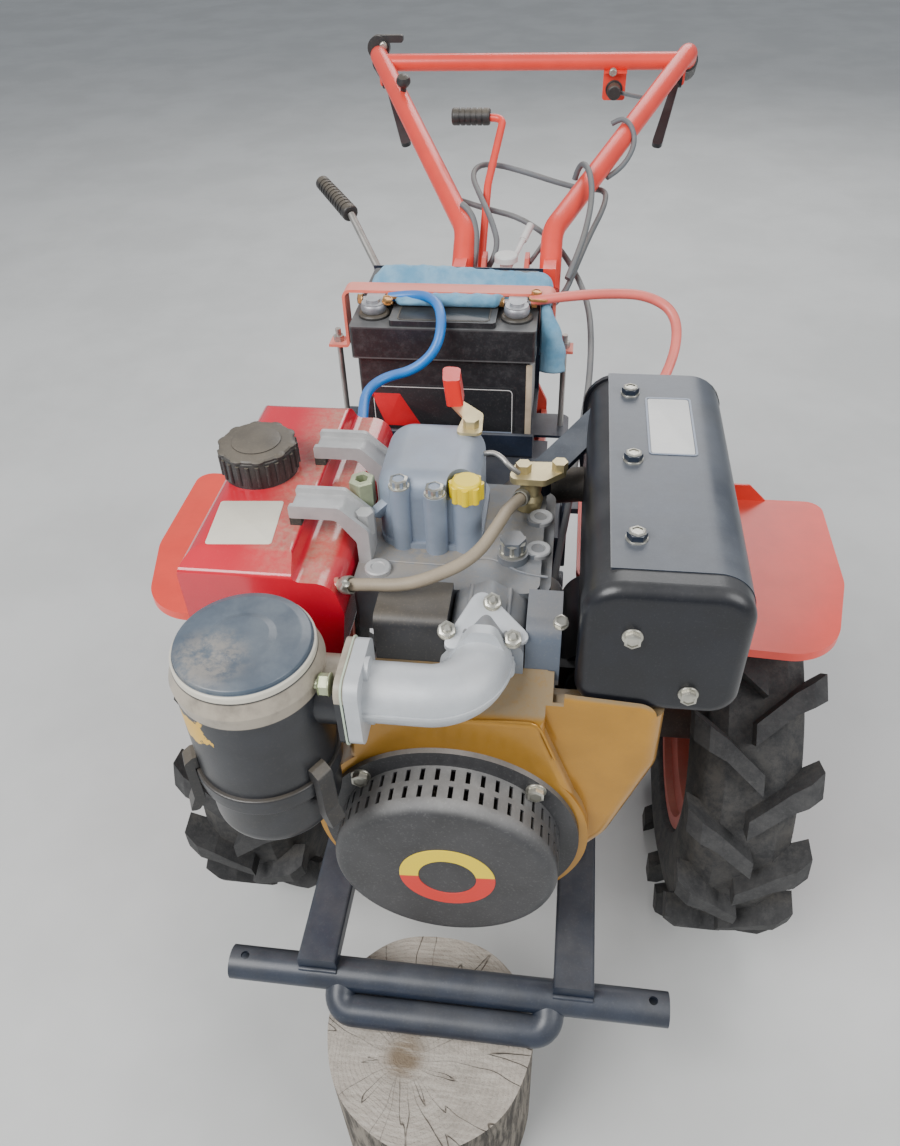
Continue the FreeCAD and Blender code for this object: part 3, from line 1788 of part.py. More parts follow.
# Clutch housing, gearbox and axle housings
clutch_end = case_end + clutch_length
clutch = turned(
    [
        (0, 0),
        (0, clutch_radius + clutch_flange),
        (clutch_flange_length, clutch_radius + clutch_flange, 2),
        (clutch_flange_length, clutch_radius),
        (clutch_cone_start, clutch_radius, 20),
        (clutch_length, clutch_neck_radius),
        (clutch_length, 0),
    ],
    Vector(crank_x, case_back, crank_z),
    Vector(0, 1, 0),
)
save("clutch_housing", clutch)
gear_case = seen_from_side(
    [
        (clutch_end, box_top),
        (box_behind, box_top, box_round),
        (box_behind, box_bottom, box_round),
        (box_front, box_bottom, box_round),
        (box_front, box_step, box_round),
        (clutch_end, box_step - 2 * box_round, box_round / 2),
    ],
    -box_half_width,
    box_half_width,
)
edges_from = behind(box_front) + 1
gear_case = rounded(gear_case, box_edge, lambda bounds: bounds.XLength < 0.1 and bounds.YMin > edges_from)
axle_centre = Vector(0, axle_y, axle_z)
boss_half = Vector(box_half_width + box_boss_out, 0, 0)
lid = seen_from_above(
    [
        (-box_lid_half, clutch_end + box_lid_inset, box_round),
        (box_lid_half, clutch_end + box_lid_inset, box_round),
        (box_lid_half, box_behind - box_round, box_round),
        (-box_lid_half, box_behind - box_round, box_round),
    ],
    box_top,
    box_top + box_lid_thickness,
)
gear_pieces = [gear_case, lid, rod(axle_centre - boss_half, axle_centre + boss_half, box_boss_radius)]
for side in (-1, 1):
    cap_root = Vector(side * box_half_width, behind(shaft_cap_behind), shaft_cap_z)
    gear_pieces.append(
        turned(
            [(0, 0), (0, shaft_cap_radius), (shaft_cap_depth, shaft_cap_radius, 3), (shaft_cap_depth, 0)],
            cap_root,
            Vector(side, 0, 0),
        )
    )
gearbox = fuse(gear_pieces)
save("gearbox", gearbox)
housings = []
housing_start = box_half_width + box_boss_out
housing_length = housing_end - housing_start
for side in (-1, 1):
    housings.append(
        turned(
            [
                (0, axle_radius + axle_fit),
                (0, box_boss_radius),
                (housing_flange, box_boss_radius, 2),
                (housing_flange + 4, housing_radius + 6, 8),
                (housing_length - housing_collar_length - 2, housing_radius),
                (housing_length - housing_collar_length, housing_radius + housing_collar),
                (housing_length, housing_radius + housing_collar, 2),
                (housing_length, axle_radius + axle_fit),
            ],
            Vector(side * housing_start, axle_y, axle_z),
            Vector(side, 0, 0),
        )
    )
save("axle_housings", Part.Compound(housings))

# Rear hitch: clevis with an upright pin hole
hitch_nose = box_behind + hitch_reach
hitch_face = box_behind + hitch_back_plate
half_gap = hitch_gap / 2
back_half_height = half_gap + hitch_plate + 2 * hitch_round
hitch_pieces = [
    seen_from_front(
        [
            (-hitch_back_half, hitch_z - back_half_height, hitch_round),
            (hitch_back_half, hitch_z - back_half_height, hitch_round),
            (hitch_back_half, hitch_z + back_half_height, hitch_round),
            (-hitch_back_half, hitch_z + back_half_height, hitch_round),
        ],
        behind(box_behind),
        behind(hitch_face),
    )
]
for low in (hitch_z - half_gap - hitch_plate, hitch_z + half_gap):
    eye = Vector(0, behind(hitch_nose), low)
    hitch_pieces.append(
        seen_from_above(
            [
                (-hitch_root_half, hitch_face),
                (hitch_root_half, hitch_face),
                (hitch_nose_radius, hitch_nose),
                (-hitch_nose_radius, hitch_nose),
            ],
            low,
            low + hitch_plate,
        )
    )
    hitch_pieces.append(rod(eye, eye + Vector(0, 0, hitch_plate), hitch_nose_radius))
pin_low = Vector(0, behind(hitch_nose), hitch_z - hitch_gap)
pin_high = Vector(0, behind(hitch_nose), hitch_z + hitch_gap)
save("rear_hitch", fuse(hitch_pieces).cut(rod(pin_low, pin_high, hitch_pin_radius)))

# Fenders with a turned-down lip and an upstand, on bent stays from the gearbox
fender_z = 2 * tyre_radius + wheel_gap
for name, side in (("left", 1), ("right", -1)):
    outline = [
        (side * fender_root, fender_root_front, 30),
        (side * fender_inner, fender_root_front, 20),
        (side * fender_inner, fender_front + fender_lip, 10),
        (side * (fender_outer - fender_corner / 2), fender_front, fender_corner),
        (side * fender_outer, fender_side_front, fender_corner),
        (side * fender_outer, fender_back, 20),
        (side * fender_root, fender_back, 4),
    ]
    sheet = seen_from_above(outline, fender_z, fender_z + fender_thickness)
    wall = seen_from_above(outline, fender_z - fender_lip, fender_z)
    edge = [item for item in wall.Faces if item.BoundBox.ZMax < fender_z - fender_lip + 0.1][0]
    inside = Part.Face(edge.OuterWire.makeOffset2D(-fender_thickness)).extrude(Vector(0, 0, fender_lip))
    upstand = seen_from_front(
        [
            (side * fender_inner, fender_z),
            (side * (fender_inner + upstand_width), fender_z),
            (side * (fender_inner + upstand_width - upstand_height), fender_z + upstand_height, 8),
            (side * fender_inner, fender_z + upstand_height, 8),
        ],
        behind(fender_back - fender_thickness),
        behind(fender_back),
    )
    stay_space = box(
        -fender_inner - stay_reach,
        fender_inner + stay_reach,
        behind(stay_front),
        behind(stay_front + stay_width),
        fender_z - 2 * fender_lip,
        fender_z,
    )
    fender = fuse([sheet, wall.cut(inside).cut(stay_space), upstand])
    save("fender_" + name, fender)
stays = []
for side in (-1, 1):
    foot_x = side * box_half_width
    outer_x = side * (box_half_width + stay_thickness)
    end_x = side * (fender_inner + stay_reach)
    stays.append(
        seen_from_front(
            [
                (foot_x, stay_foot_low, 0),
                (foot_x, fender_z, stay_bend),
                (end_x, fender_z, 0),
                (end_x, fender_z - stay_thickness, 2),
                (outer_x, fender_z - stay_thickness, stay_bend - stay_thickness),
                (outer_x, stay_foot_low, 2),
            ],
            behind(stay_front),
            behind(stay_front + stay_width),
        )
    )
save("fender_stays", Part.Compound(stays))

# Battery with its stepped lid
battery_half = battery_length / 2
battery_left = battery_x + battery_half
battery_right = battery_x - battery_half
battery_back = battery_behind + battery_width
battery_top = battery_floor + battery_height
lid_face = battery_top - lid_step


def battery_layer(inset, front, back, low, high):
    """Upright-edged layer of the battery, in from its ends by an inset."""
    return seen_from_above(
        [
            (battery_right + inset, front, battery_round),
            (battery_left - inset, front, battery_round),
            (battery_left - inset, back, battery_round),
            (battery_right + inset, back, battery_round),
        ],
        low,
        high,
    )


lid_front = battery_behind + panel_margin
lid_back = battery_back - panel_margin
battery = fuse(
    [
        battery_layer(
            case_in, battery_behind + case_in, battery_back - case_in, battery_floor, battery_top - lid_height
        ),
        battery_layer(0, battery_behind, battery_back, battery_top - lid_height, lid_face),
        battery_layer(panel_inset, lid_front, lid_back, lid_face, battery_top),
        battery_layer(panel_margin, battery_behind + panel_step, lid_back, lid_face, battery_top),
    ]
)
save("battery", battery)
clamps = []
for clamp_x in (battery_right + clamp_inset, battery_left - clamp_inset):
    post = Vector(clamp_x, behind(battery_behind + clamp_behind), lid_face)
    screw = post + Vector(0, clamp_screw_behind, clamp_screw_rise)
    screw_half = Vector(clamp_screw_half, 0, 0)
    ear = box(
        post.x - clamp_ear_half,
        post.x + clamp_ear_half,
        post.y + clamp_ear_span[0],
        post.y + clamp_ear_span[1],
        lid_face + clamp_ring_low,
        lid_face + clamp_ring_high,
    )
    ring_low = post + Vector(0, 0, clamp_ring_low)
    ring_high = post + Vector(0, 0, clamp_ring_high)
    clamps.append(
        fuse(
            [
                rod(post, post + Vector(0, 0, post_height), post_radius),
                rod(ring_low, ring_high, clamp_ring_radius),
                ear,
                rod(screw - screw_half, screw + screw_half, clamp_screw_radius),
            ]
        )
    )
battery_clamps = Part.Compound(clamps)
save("battery_clamps", battery_clamps)

# Hold-down bar over the battery, with its threaded rods into the tray
bar_place = battery_back - bar_inset
bar_low = battery_top + bar_rise
bar_half = battery_half + bar_clear
bar_foot = bar_low - bar_leg
right_half = [
    (battery_x - bar_half - bar_ear, bar_foot, 0),
    (battery_x - bar_half, bar_foot, 6),
    (battery_x - bar_half, bar_low, 8),
    (battery_x + bar_half, bar_low, 8),
    (battery_x + bar_half, bar_foot, 6),
    (battery_x + bar_half + bar_ear, bar_foot, 0),
    (battery_x + bar_half + bar_ear, bar_foot + bar_thickness, 0),
    (battery_x + bar_half + bar_thickness, bar_foot + bar_thickness, 2),
    (battery_x + bar_half + bar_thickness, bar_low + bar_thickness, 12),
    (battery_x - bar_half - bar_thickness, bar_low + bar_thickness, 12),
    (battery_x - bar_half - bar_thickness, bar_foot + bar_thickness, 2),
    (battery_x - bar_half - bar_ear, bar_foot + bar_thickness, 0),
]
bar = seen_from_front(right_half, behind(bar_place), behind(bar_place + bar_width))
tray_low = battery_floor - tray_thickness
rod_y = behind(bar_place + bar_width / 2)
rod_holes = []
tie_rods = []
for side in (-1, 1):
    rod_x = battery_x + side * (bar_half + rod_in_ear)
    low = Vector(rod_x, rod_y, tray_low - rod_past_tray)
    ear_face = Vector(rod_x, rod_y, bar_foot + bar_thickness)
    high = ear_face + Vector(0, 0, rod_past_bar - bar_thickness)
    rod_holes.append(rod(low, high, rod_hole_radius))
    nut = hex_bolt(ear_face, Vector(0, 0, 1), rod_nut_across, rod_nut_height)
    tie_rods.append(fuse([rod(low, high, rod_radius), nut]))
bar = bar.cut(rod_holes)
save("battery_hold_down", bar)
save("hold_down_rods", Part.Compound(tie_rods))
tray_front = battery_behind - tray_gap - tray_thickness
tray_end = battery_back + tray_gap + tray_thickness
tray_section = seen_from_side(
    [
        (tray_front, tray_low, 6),
        (tray_end, tray_low, 6),
        (tray_end, battery_top, 3),
        (tray_end - tray_thickness, battery_top, 0),
        (tray_end - tray_thickness, battery_floor, 2),
        (tray_front + tray_thickness, battery_floor, 2),
        (tray_front + tray_thickness, battery_floor + tray_lip, 0),
        (tray_front, battery_floor + tray_lip, 3),
    ],
    battery_right,
    battery_left,
)
tray_half = bar_half + bar_ear
ear_front = bar_place + bar_width / 2 - tray_ear_width / 2
tray_ears = seen_from_above(
    [
        (battery_x - tray_half, ear_front, 12),
        (battery_x + tray_half, ear_front, 12),
        (battery_x + tray_half, ear_front + tray_ear_width, 12),
        (battery_x - tray_half, ear_front + tray_ear_width, 12),
    ],
    tray_low,
    battery_floor,
)
lid_top = box_top + box_lid_thickness
pedestal_ends = (behind(pedestal_front), behind(pedestal_back))
pedestal = box(-pedestal_half, pedestal_half, pedestal_ends[0], pedestal_ends[1], lid_top, tray_low)
tunnel = seen_from_front(
    [
        (-pedestal_window / 2, lid_top, 0),
        (-pedestal_window / 2, tray_low - tray_thickness, 6),
        (pedestal_window / 2, tray_low - tray_thickness, 6),
        (pedestal_window / 2, lid_top, 0),
    ],
    pedestal_ends[0],
    pedestal_ends[1],
)
tray = fuse([tray_section, tray_ears, pedestal.cut(tunnel)]).cut(rod_holes)
save("battery_tray", tray)

# Folded cloth under the hold-down bar, hanging over the battery's end
cloth_low = battery_top + cloth_gap
cloth_high = bar_low - cloth_gap
cloth_front = bar_place - cloth_ahead
cloth_out = battery_left + cloth_side_gap + cloth_thickness
cloth = fuse(
    [
        seen_from_above(
            [
                (battery_x - cloth_half, bar_place, 4),
                (battery_x - cloth_front_right, bar_place, 0),
                (battery_x - cloth_front_right, cloth_front, 4),
                (battery_x + cloth_front_left, cloth_front, 4),
                (battery_x + cloth_front_left, bar_place, 0),
                (cloth_out, bar_place, 4),
                (cloth_out, bar_place + cloth_back, 4),
                (battery_x - cloth_half, bar_place + cloth_back, 4),
            ],
            cloth_low,
            cloth_high,
        ),
        seen_from_above(
            [
                (battery_left + cloth_side_gap, bar_place, 4),
                (cloth_out, bar_place, 4),
                (cloth_out, bar_place + cloth_back - 8, 4),
                (battery_left + cloth_side_gap, bar_place + cloth_back - 8, 4),
            ],
            battery_top - cloth_hang,
            cloth_high,
        ),
    ]
)
save("folded_cloth", cloth.cut(bar))

# Handlebar column: waisted plate on cheeks from the gearbox, with the clamp's brackets
column_y = behind(column_behind)
column_back = column_y + column_plate
half_outline = [
    (column_half, column_low, 0),
    (column_half, column_waist[0][0], column_round),
    (column_waist_half, column_waist[0][1], column_round),
    (column_waist_half, column_waist[1][0], column_round),
    (column_half, column_waist[1][1], column_round),
    (column_half, column_high, column_round),
]
column_outline = [(frame_x + item[0],) + item[1:] for item in half_outline]
column_outline += [(frame_x - item[0],) + item[1:] for item in reversed(half_outline)]
window = seen_from_front(
    [
        (frame_x - column_window_half, column_window_low, column_round),
        (frame_x + column_window_half, column_window_low, column_round),
        (frame_x + column_window_half, column_window_high, column_round),
        (frame_x - column_window_half, column_window_high, column_round),
    ],
    column_y,
    column_back,
)
column_pieces = [seen_from_front(column_outline, column_y, column_back).cut(window)]
for side in (-1, 1):
    outer = frame_x + side * column_half
    cheek_outline = [
        (box_behind, column_low, 0),
        (cheek_back, column_low, column_round),
        (cheek_back, column_low + cheek_tip, column_round),
        (column_behind, column_low + cheek_height, column_round),
        (box_behind, column_low + cheek_height, 0),
    ]
    column_pieces.append(seen_from_side(cheek_outline, outer - side * column_plate, outer))
    inner = frame_x + side * post_bracket_half
    bracket_outline = [
        (column_behind, post_bracket_low, 0),
        (column_behind + column_plate, post_bracket_low, 0),
        (post_bracket_back, post_bracket_low + 2 * column_round, 2 * column_round),
        (post_bracket_back, post_bracket_high, column_round),
        (post_bracket_top, post_bracket_high, 0),
        (column_behind, column_high, 0),
    ]
    column_pieces.append(seen_from_side(bracket_outline, inner - side * post_bracket_plate, inner))
bridge_high = bridge_z + bridge_thickness
column_pieces.append(
    box(frame_x - column_half, frame_x + column_half, behind(box_behind), column_y, bridge_z, bridge_high)
)
column_pieces.append(
    seen_from_above(
        [
            (frame_x - post_bracket_half, column_behind, 0),
            (frame_x + post_bracket_half, column_behind, 0),
            (frame_x + post_bracket_half, post_bracket_back, column_round),
            (frame_x - post_bracket_half, post_bracket_back, column_round),
        ],
        shelf_z,
        shelf_z + shelf_thickness,
    )
)
handle_column = fuse(column_pieces)
save("handle_column", handle_column)
clamp_low = Vector(frame_x + clamp_rod_out, column_y + clamp_rod_behind, shelf_z + shelf_thickness)
clamp_rod = turned(
    [
        (0, 0),
        (0, clamp_rod_radius),
        (clamp_rod_height, clamp_rod_radius),
        (clamp_rod_height, clamp_cap_radius),
        (clamp_rod_height + clamp_cap_height, clamp_cap_radius, 3),
        (clamp_rod_height + clamp_cap_height, 0),
    ],
    clamp_low,
    Vector(0, 0, 1),
)
clamp_start = clamp_low + Vector(0, 0, clamp_handle_start)
clamp_end = clamp_start + Vector(*clamp_handle_reach)
clamp_knob = clamp_end - (clamp_end - clamp_start).normalize() * clamp_knob_length
clamp_handle = rod(clamp_start, clamp_end, clamp_handle_radius)
save("column_clamp", fuse([clamp_rod, clamp_handle, rod(clamp_knob, clamp_end, clamp_knob_radius)]))

# Handlebar: two tubes on flat bases, crossbar, lever yokes and switch plate
handle_pieces = []
tube_ends = {}
lever_pivots = {}
cross_ends = {}


def tube_at(side, distance):
    """Point of a handlebar tube between its knee and its bend."""
    share = (distance - handle_knee_behind) / (handle_bend_behind - handle_knee_behind)
    half = handle_half_base + share * (handle_half_end - handle_half_base)
    height = handle_knee_z + share * (handle_bend_z - handle_knee_z)
    return Vector(frame_x + side * half, behind(distance), height)


for side in (-1, 1):
    foot_x = frame_x + side * handle_half_base
    bend = tube_at(side, handle_bend_behind)
    tip = Vector(bend.x + side * handle_end_out, behind(handle_end_behind), handle_end_z)
    tube_ends[side] = (bend, tip)
    handle_pieces.append(
        bent_tube(
            [
                (Vector(foot_x, behind(handle_base_behind), handle_base_z), 0),
                (tube_at(side, handle_knee_behind), handle_knee_bend),
                (bend, handle_bend_radius),
                (tip, 0),
            ],
            handle_tube_radius,
        )
    )
    handle_pieces.append(
        seen_from_side(
            [
                (column_behind + column_plate, base_plate_low, 0),
                (column_behind + base_plate_end, base_plate_low, base_plate_round),
                (column_behind + base_plate_end, base_plate_high, base_plate_round),
                (column_behind + column_plate, base_plate_high, 0),
            ],
            foot_x - base_plate_half,
            foot_x + base_plate_half,
        )
    )
    pivot = tube_at(side, lever_behind) - Vector(side * lever_in, 0, lever_drop)
    lever_pivots[side] = pivot
    yoke = seen_from_front(
        [
            (pivot.x - yoke_half, pivot.z - yoke_below, yoke_below),
            (pivot.x + yoke_half, pivot.z - yoke_below, yoke_below),
            (pivot.x + yoke_half, pivot.z + yoke_rise),
            (pivot.x - yoke_half, pivot.z + yoke_rise),
        ],
        pivot.y - yoke_depth,
        pivot.y + yoke_depth,
    )
    slot = box(
        pivot.x - yoke_slot_half,
        pivot.x + yoke_slot_half,
        pivot.y - yoke_depth,
        pivot.y + yoke_depth,
        pivot.z - yoke_below,
        pivot.z + yoke_slot_rise,
    )
    pin_half = Vector(yoke_half, 0, 0)
    handle_pieces.append(fuse([yoke.cut(slot), rod(pivot - pin_half, pivot + pin_half, lever_pin_radius)]))
    cross_ends[side] = tube_at(side, cross_behind)
handle_pieces.append(rod(cross_ends[-1], cross_ends[1], cross_tube_radius))
cross_y = behind(cross_behind)
cross_z = cross_ends[1].z
switch_x = frame_x + switch_plate_out
plate_low = cross_z - switch_plate_drop
shelf_low = cross_z - cross_tube_radius - switch_plate_thickness / 2
switch_face = cross_y - switch_plate_thickness / 2
handle_pieces.append(
    seen_from_front(
        [
            (switch_x - switch_plate_half, plate_low, switch_plate_round),
            (switch_x + switch_plate_half, plate_low, switch_plate_round),
            (switch_x + switch_plate_half, cross_z),
            (switch_x - switch_plate_half, cross_z),
        ],
        switch_face,
        switch_face + switch_plate_thickness,
    )
)
handle_pieces.append(
    box(
        switch_x - switch_plate_half,
        switch_x + switch_plate_half,
        switch_face - switch_plate_depth,
        switch_face,
        shelf_low,
        shelf_low + switch_plate_thickness,
    )
)
handlebar = fuse(handle_pieces)
save("handlebar", handlebar)


def grip_profile(length, first, last, inner):
    """Profile of a grooved grip whose radius runs from the first to the last one."""
    profile = [(0, inner), (0, first, grip_round)]
    place = grip_groove_start
    while place < length - grip_groove_start:
        radius = first + (last - first) * place / length
        profile.append((place, radius))
        profile.append((place, radius - grip_groove))
        profile.append((place + grip_groove_width, radius - grip_groove))
        profile.append((place + grip_groove_width, radius))
        place += grip_groove_pitch
    return profile + [(length, last, grip_round), (length, inner)]


bar_grips = []
for side in (-1, 1):
    bend, tip = tube_ends[side]
    way = (tip - bend).normalize()
    profile = grip_profile(bar_grip_length, bar_grip_radius, bar_grip_radius, handle_tube_radius)
    bar_grips.append(turned(profile, tip - way * bar_grip_length, way))

# Clutch levers on their yokes, throttle lever and stop switch
levers = []
for side in (-1, 1):
    pivot = lever_pivots[side]
    way = Vector(-lever_left_in if side > 0 else lever_right_in, -lever_forward, -lever_down)
    blade = plate(
        [
            (Vector(0, -lever_root_half, -lever_thickness / 2), 0),
            (Vector(way.Length, -lever_tip_half, -lever_thickness / 2), lever_tip_round),
            (Vector(way.Length, lever_tip_half, -lever_thickness / 2), lever_tip_round),
            (Vector(0, lever_root_half, -lever_thickness / 2), 0),
        ],
        Vector(0, 0, lever_thickness),
    )
    blade.Placement = FreeCAD.Placement(pivot, FreeCAD.Rotation(way, Vector(1, 0, 0), Vector(0, 0, 0), "XYZ"))
    eye_half = Vector(lever_eye_half, 0, 0)
    eye = rod(pivot - eye_half, pivot + eye_half, lever_eye_radius)
    bore = rod(pivot - eye_half, pivot + eye_half, lever_pin_radius + lever_pin_fit)
    levers.append(fuse([blade, eye]).cut([bore, handlebar]))
save("clutch_levers", Part.Compound(levers))
throttle = tube_ends[-1][0] + Vector(-throttle_ahead[0], throttle_ahead[1], throttle_ahead[2])
ring_half = Vector(0, throttle_clamp_half, 0)
throttle_arm = seen_from_front(
    [
        (throttle.x, throttle.z + throttle_arm_low),
        (throttle.x + throttle_arm_reach, throttle.z + throttle_arm_low, throttle_arm_round),
        (throttle.x + throttle_arm_reach, throttle.z + throttle_arm_high, throttle_arm_round),
        (throttle.x, throttle.z + throttle_arm_high),
    ],
    throttle.y - throttle_arm_half,
    throttle.y + throttle_arm_half,
)
throttle_ring = rod(throttle - ring_half, throttle + ring_half, throttle_clamp_radius)
save("throttle_lever", fuse([throttle_ring, throttle_arm]).cut(handlebar))
stop_switch = turned(
    [
        (0, 0),
        (0, switch_radius + switch_collar),
        (switch_collar_depth, switch_radius + switch_collar, 1),
        (switch_collar_depth, switch_radius),
        (switch_length, switch_radius, 3),
        (switch_length, 0),
    ],
    Vector(switch_x, switch_face, cross_z - switch_drop),
    Vector(0, -1, 0),
)
save("stop_switch", stop_switch)

# Gear lever and range lever with their grips
gear_x = frame_x - gear_rod_out
gear_z = column_low - gear_rod_below
gear_points = [
    (Vector(gear_x, behind(box_behind), gear_z), 0),
    (Vector(gear_x, behind(gear_turn_behind), gear_z), gear_turn_bend),
]
gear_points += [(Vector(item[0], behind(item[1]), item[2]), item[3]) for item in gear_route]
gear_lever = bent_tube(gear_points, shift_rod_radius)
save("gear_lever", gear_lever)
gear_end = gear_points[-1][0]
gear_grip = turned(
    grip_profile(gear_grip_length, gear_grip_radius, gear_grip_radius, 0),
    gear_end - Vector(gear_grip_overlap, 0, 0),
    Vector(1, 0, 0),
)
range_points = [(Vector(item[0], behind(item[1]), item[2]), item[3]) for item in range_route]
range_lever = bent_tube(range_points, shift_rod_radius).cut(gearbox)
save("range_lever", range_lever)
range_grip = turned(
    grip_profile(range_grip_length, range_grip_radius, range_grip_tip, 0),
    range_points[-1][0],
    Vector(*range_grip_reach).normalize(),
)
grips = bar_grips + [gear_grip.cut(gear_lever), range_grip.cut(range_lever)]
save("lever_grips", Part.Compound(grips))

# Hoses and cables that the machine holds at both ends
fuel_hose_route = [
    Vector(tank_shoulder - 9, behind(-281), 752),
    Vector(-90, behind(-291.5), 765),
    Vector(-54, behind(-297), 771),
    Vector(-28, behind(-292), 777),
    Vector(10, behind(-270), 785),
    Vector(28, behind(-220), 788),
    Vector(34, behind(-181), 778),
    Vector(46, behind(-142), 762),
]
fuel_hose = cord("fuel_hose", fuel_hose_route, hose_radius)
save("fuel_hose", fuel_hose.cut([tank, injector]))
battery_front_y = behind(battery_behind)
earth_route = [
    Vector(battery_right + 45, battery_front_y + 58, battery_top + 7),
    Vector(battery_right + 80, battery_front_y + 56, battery_top + 14),
    Vector(battery_right + 112, battery_front_y + 32, battery_top + 17),
    Vector(battery_right + 125, battery_front_y - 10, battery_top + 9),
    Vector(battery_right + 120, battery_front_y - 36, battery_top - 18),
    Vector(battery_right + 92, battery_front_y - 46, battery_top - 42),
    Vector(battery_right + 54, battery_front_y - 58, battery_top - 47),
    Vector(battery_right + 36, battery_front_y - 86, battery_top - 52),
    Vector(battery_right + 40, battery_front_y - 126, battery_top - 58),
    Vector(battery_right + 48, battery_front_y - 176, battery_top - 64),
]
save("earth_cable", cord("earth_cable", earth_route, lead_radius).cut(battery_clamps))
starter_route = [
    Vector(battery_left - 10, battery_front_y + 58, battery_top + 7),
    Vector(battery_left + 32, battery_front_y + 58, battery_top + 14),
    Vector(battery_left + 86, battery_front_y + 66, battery_top + 16),
    Vector(battery_left + 138, battery_front_y + 74, battery_top + 12),
    Vector(battery_left + 176, battery_front_y + 58, battery_top - 4),
    Vector(battery_left + 178, battery_front_y + 14, battery_top - 36),
    Vector(battery_left + 152, battery_front_y - 34, battery_top - 78),
    Vector(battery_left + 124, battery_front_y - 100, battery_top - 122),
    Vector(battery_left + 118, battery_front_y - 180, battery_top - 136),
    Vector(starter.x + 10, starter.y + 118, starter.z + 56),
]
starter_cable = cord("starter_cable", starter_route, lead_radius)
save("starter_cable", starter_cable.cut([battery_clamps, starter_motor]))

# Control cables along the handlebar: throttle, clutch and stop switch
throttle_route = [
    Vector(-45, behind(421.5), 762),
    Vector(-28, behind(435.5), 786),
    Vector(-42, behind(475.5), 812),
    Vector(-66, behind(531.5), 832),
    Vector(-84, behind(579.5), 846),
    Vector(-76, behind(613.5), 852),
    Vector(-46, behind(627.5), 848),
    Vector(4, behind(623.5), 836),
    Vector(50, behind(617.5), 824),
    Vector(92, behind(611.5), 816),
    Vector(126, behind(593.5), 822),
    Vector(124, behind(549.5), 812),
    Vector(102, behind(485.5), 788),
    Vector(84, behind(425.5), 762),
    Vector(70, behind(387.5), 738),
    Vector(53, behind(374), 728),
]
speed_route = [
    Vector(-112, behind(555.5), 820),
    Vector(-62, behind(549.5), 806),
    Vector(-5, behind(537.5), 798),
    Vector(50, behind(501.5), 776),
    Vector(86, behind(445.5), 750),
    Vector(106, behind(367.5), 736),
    Vector(112, behind(289.5), 726),
    Vector(112, behind(209.5), 704),
    Vector(106, behind(139.5), 684),
    Vector(98, behind(71.5), 660),
    Vector(92, behind(9.5), 630),
    Vector(84, behind(-42.5), 604),
    Vector(80, behind(-85), 592),
]
switch_route = [
    Vector(138, behind(917.5), 886),
    Vector(166, behind(897.5), 884),
    Vector(196, behind(849.5), 890),
    Vector(162, behind(769.5), 868),
    Vector(126, behind(683.5), 844),
    Vector(84, behind(605.5), 832),
    Vector(58, behind(535.5), 808),
    Vector(38, behind(475.5), 784),
    Vector(17, behind(433.5), 768),
]
cables = [
    cord("control_cables throttle", throttle_route, control_radius),
    cord("control_cables clutch", speed_route, control_radius),
    cord("control_cables switch", switch_route, wire_radius),
]
held_by = [handlebar, crankcase, stop_switch, handle_column]
save("control_cables", Part.Compound([cable.cut(held_by) for cable in cables]))
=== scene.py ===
import bpy
import math
from mathutils import Matrix, Quaternion, Vector


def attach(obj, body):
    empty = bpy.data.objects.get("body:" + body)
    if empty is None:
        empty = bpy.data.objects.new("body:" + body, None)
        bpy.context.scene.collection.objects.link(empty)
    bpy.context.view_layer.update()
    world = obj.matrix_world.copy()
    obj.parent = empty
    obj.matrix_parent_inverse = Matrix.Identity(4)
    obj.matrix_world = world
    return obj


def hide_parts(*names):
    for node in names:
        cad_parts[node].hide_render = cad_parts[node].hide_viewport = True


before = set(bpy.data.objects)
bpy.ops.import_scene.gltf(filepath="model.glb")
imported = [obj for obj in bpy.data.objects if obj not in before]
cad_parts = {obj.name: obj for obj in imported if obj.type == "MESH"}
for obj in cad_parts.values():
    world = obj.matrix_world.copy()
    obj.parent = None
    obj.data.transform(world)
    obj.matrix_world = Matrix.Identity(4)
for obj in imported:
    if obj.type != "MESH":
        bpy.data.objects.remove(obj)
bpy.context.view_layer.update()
bpy.ops.object.select_all(action="DESELECT")

# Ways and places of the machine that the pieces share, in metres
UP = (0.0, 0.0, 1.0)
FORWARD = (0.0, -1.0, 0.0)
BACKWARD = (0.0, 1.0, 0.0)
LEFTWARD = (1.0, 0.0, 0.0)
RIGHTWARD = (-1.0, 0.0, 0.0)
AXLE_Y = -0.2495
AXLE_Z = 0.29
WHEEL_LEFT_X = 0.321
WHEEL_RIGHT_X = -0.295
CRANK_X = -0.01
CRANK_Z = 0.49
CLEANER = (-0.168, -0.6375)
ROCKER = (-0.044, -0.405)
LOG = (-0.036, -0.712)
LID_Z = 0.79
POST_X = (-0.175, 0.013)
POST_Y = -0.0315
LABEL_Y = -0.0641
TANK_CAP = (-0.222, -0.3955)
GUARD_TOP = 0.819
MUFFLER_FRONT_Y = -0.5875
HEAD_TOP = 0.742
HEAD_LINE = 0.7422
SHROUD_Y = -0.6045
FLANGE_Y = -0.6105
FLANGE_REACH = 0.121
FAN_FACE_Y = -0.6595
RING_X = -0.007
RING_Z = 0.4875
WELD_Y = -0.6722

# Finishes by name, as they are made
finishes = {}


# Node helpers
def open_finish(name):
    finish = bpy.data.materials.new(name)
    finish.use_nodes = True
    finishes[name] = finish
    return finish.node_tree, finish.node_tree.nodes["Principled BSDF"]


def joined(tree, target, source):
    if hasattr(source, "is_output"):
        tree.links.new(source, target)
    else:
        target.default_value = source


def made(tree, kind, **inputs):
    """A new node whose named inputs are linked or set."""
    node = tree.nodes.new("ShaderNode" + kind)
    for name, source in inputs.items():
        joined(tree, node.inputs[name.replace("_", " ")], source)
    return node


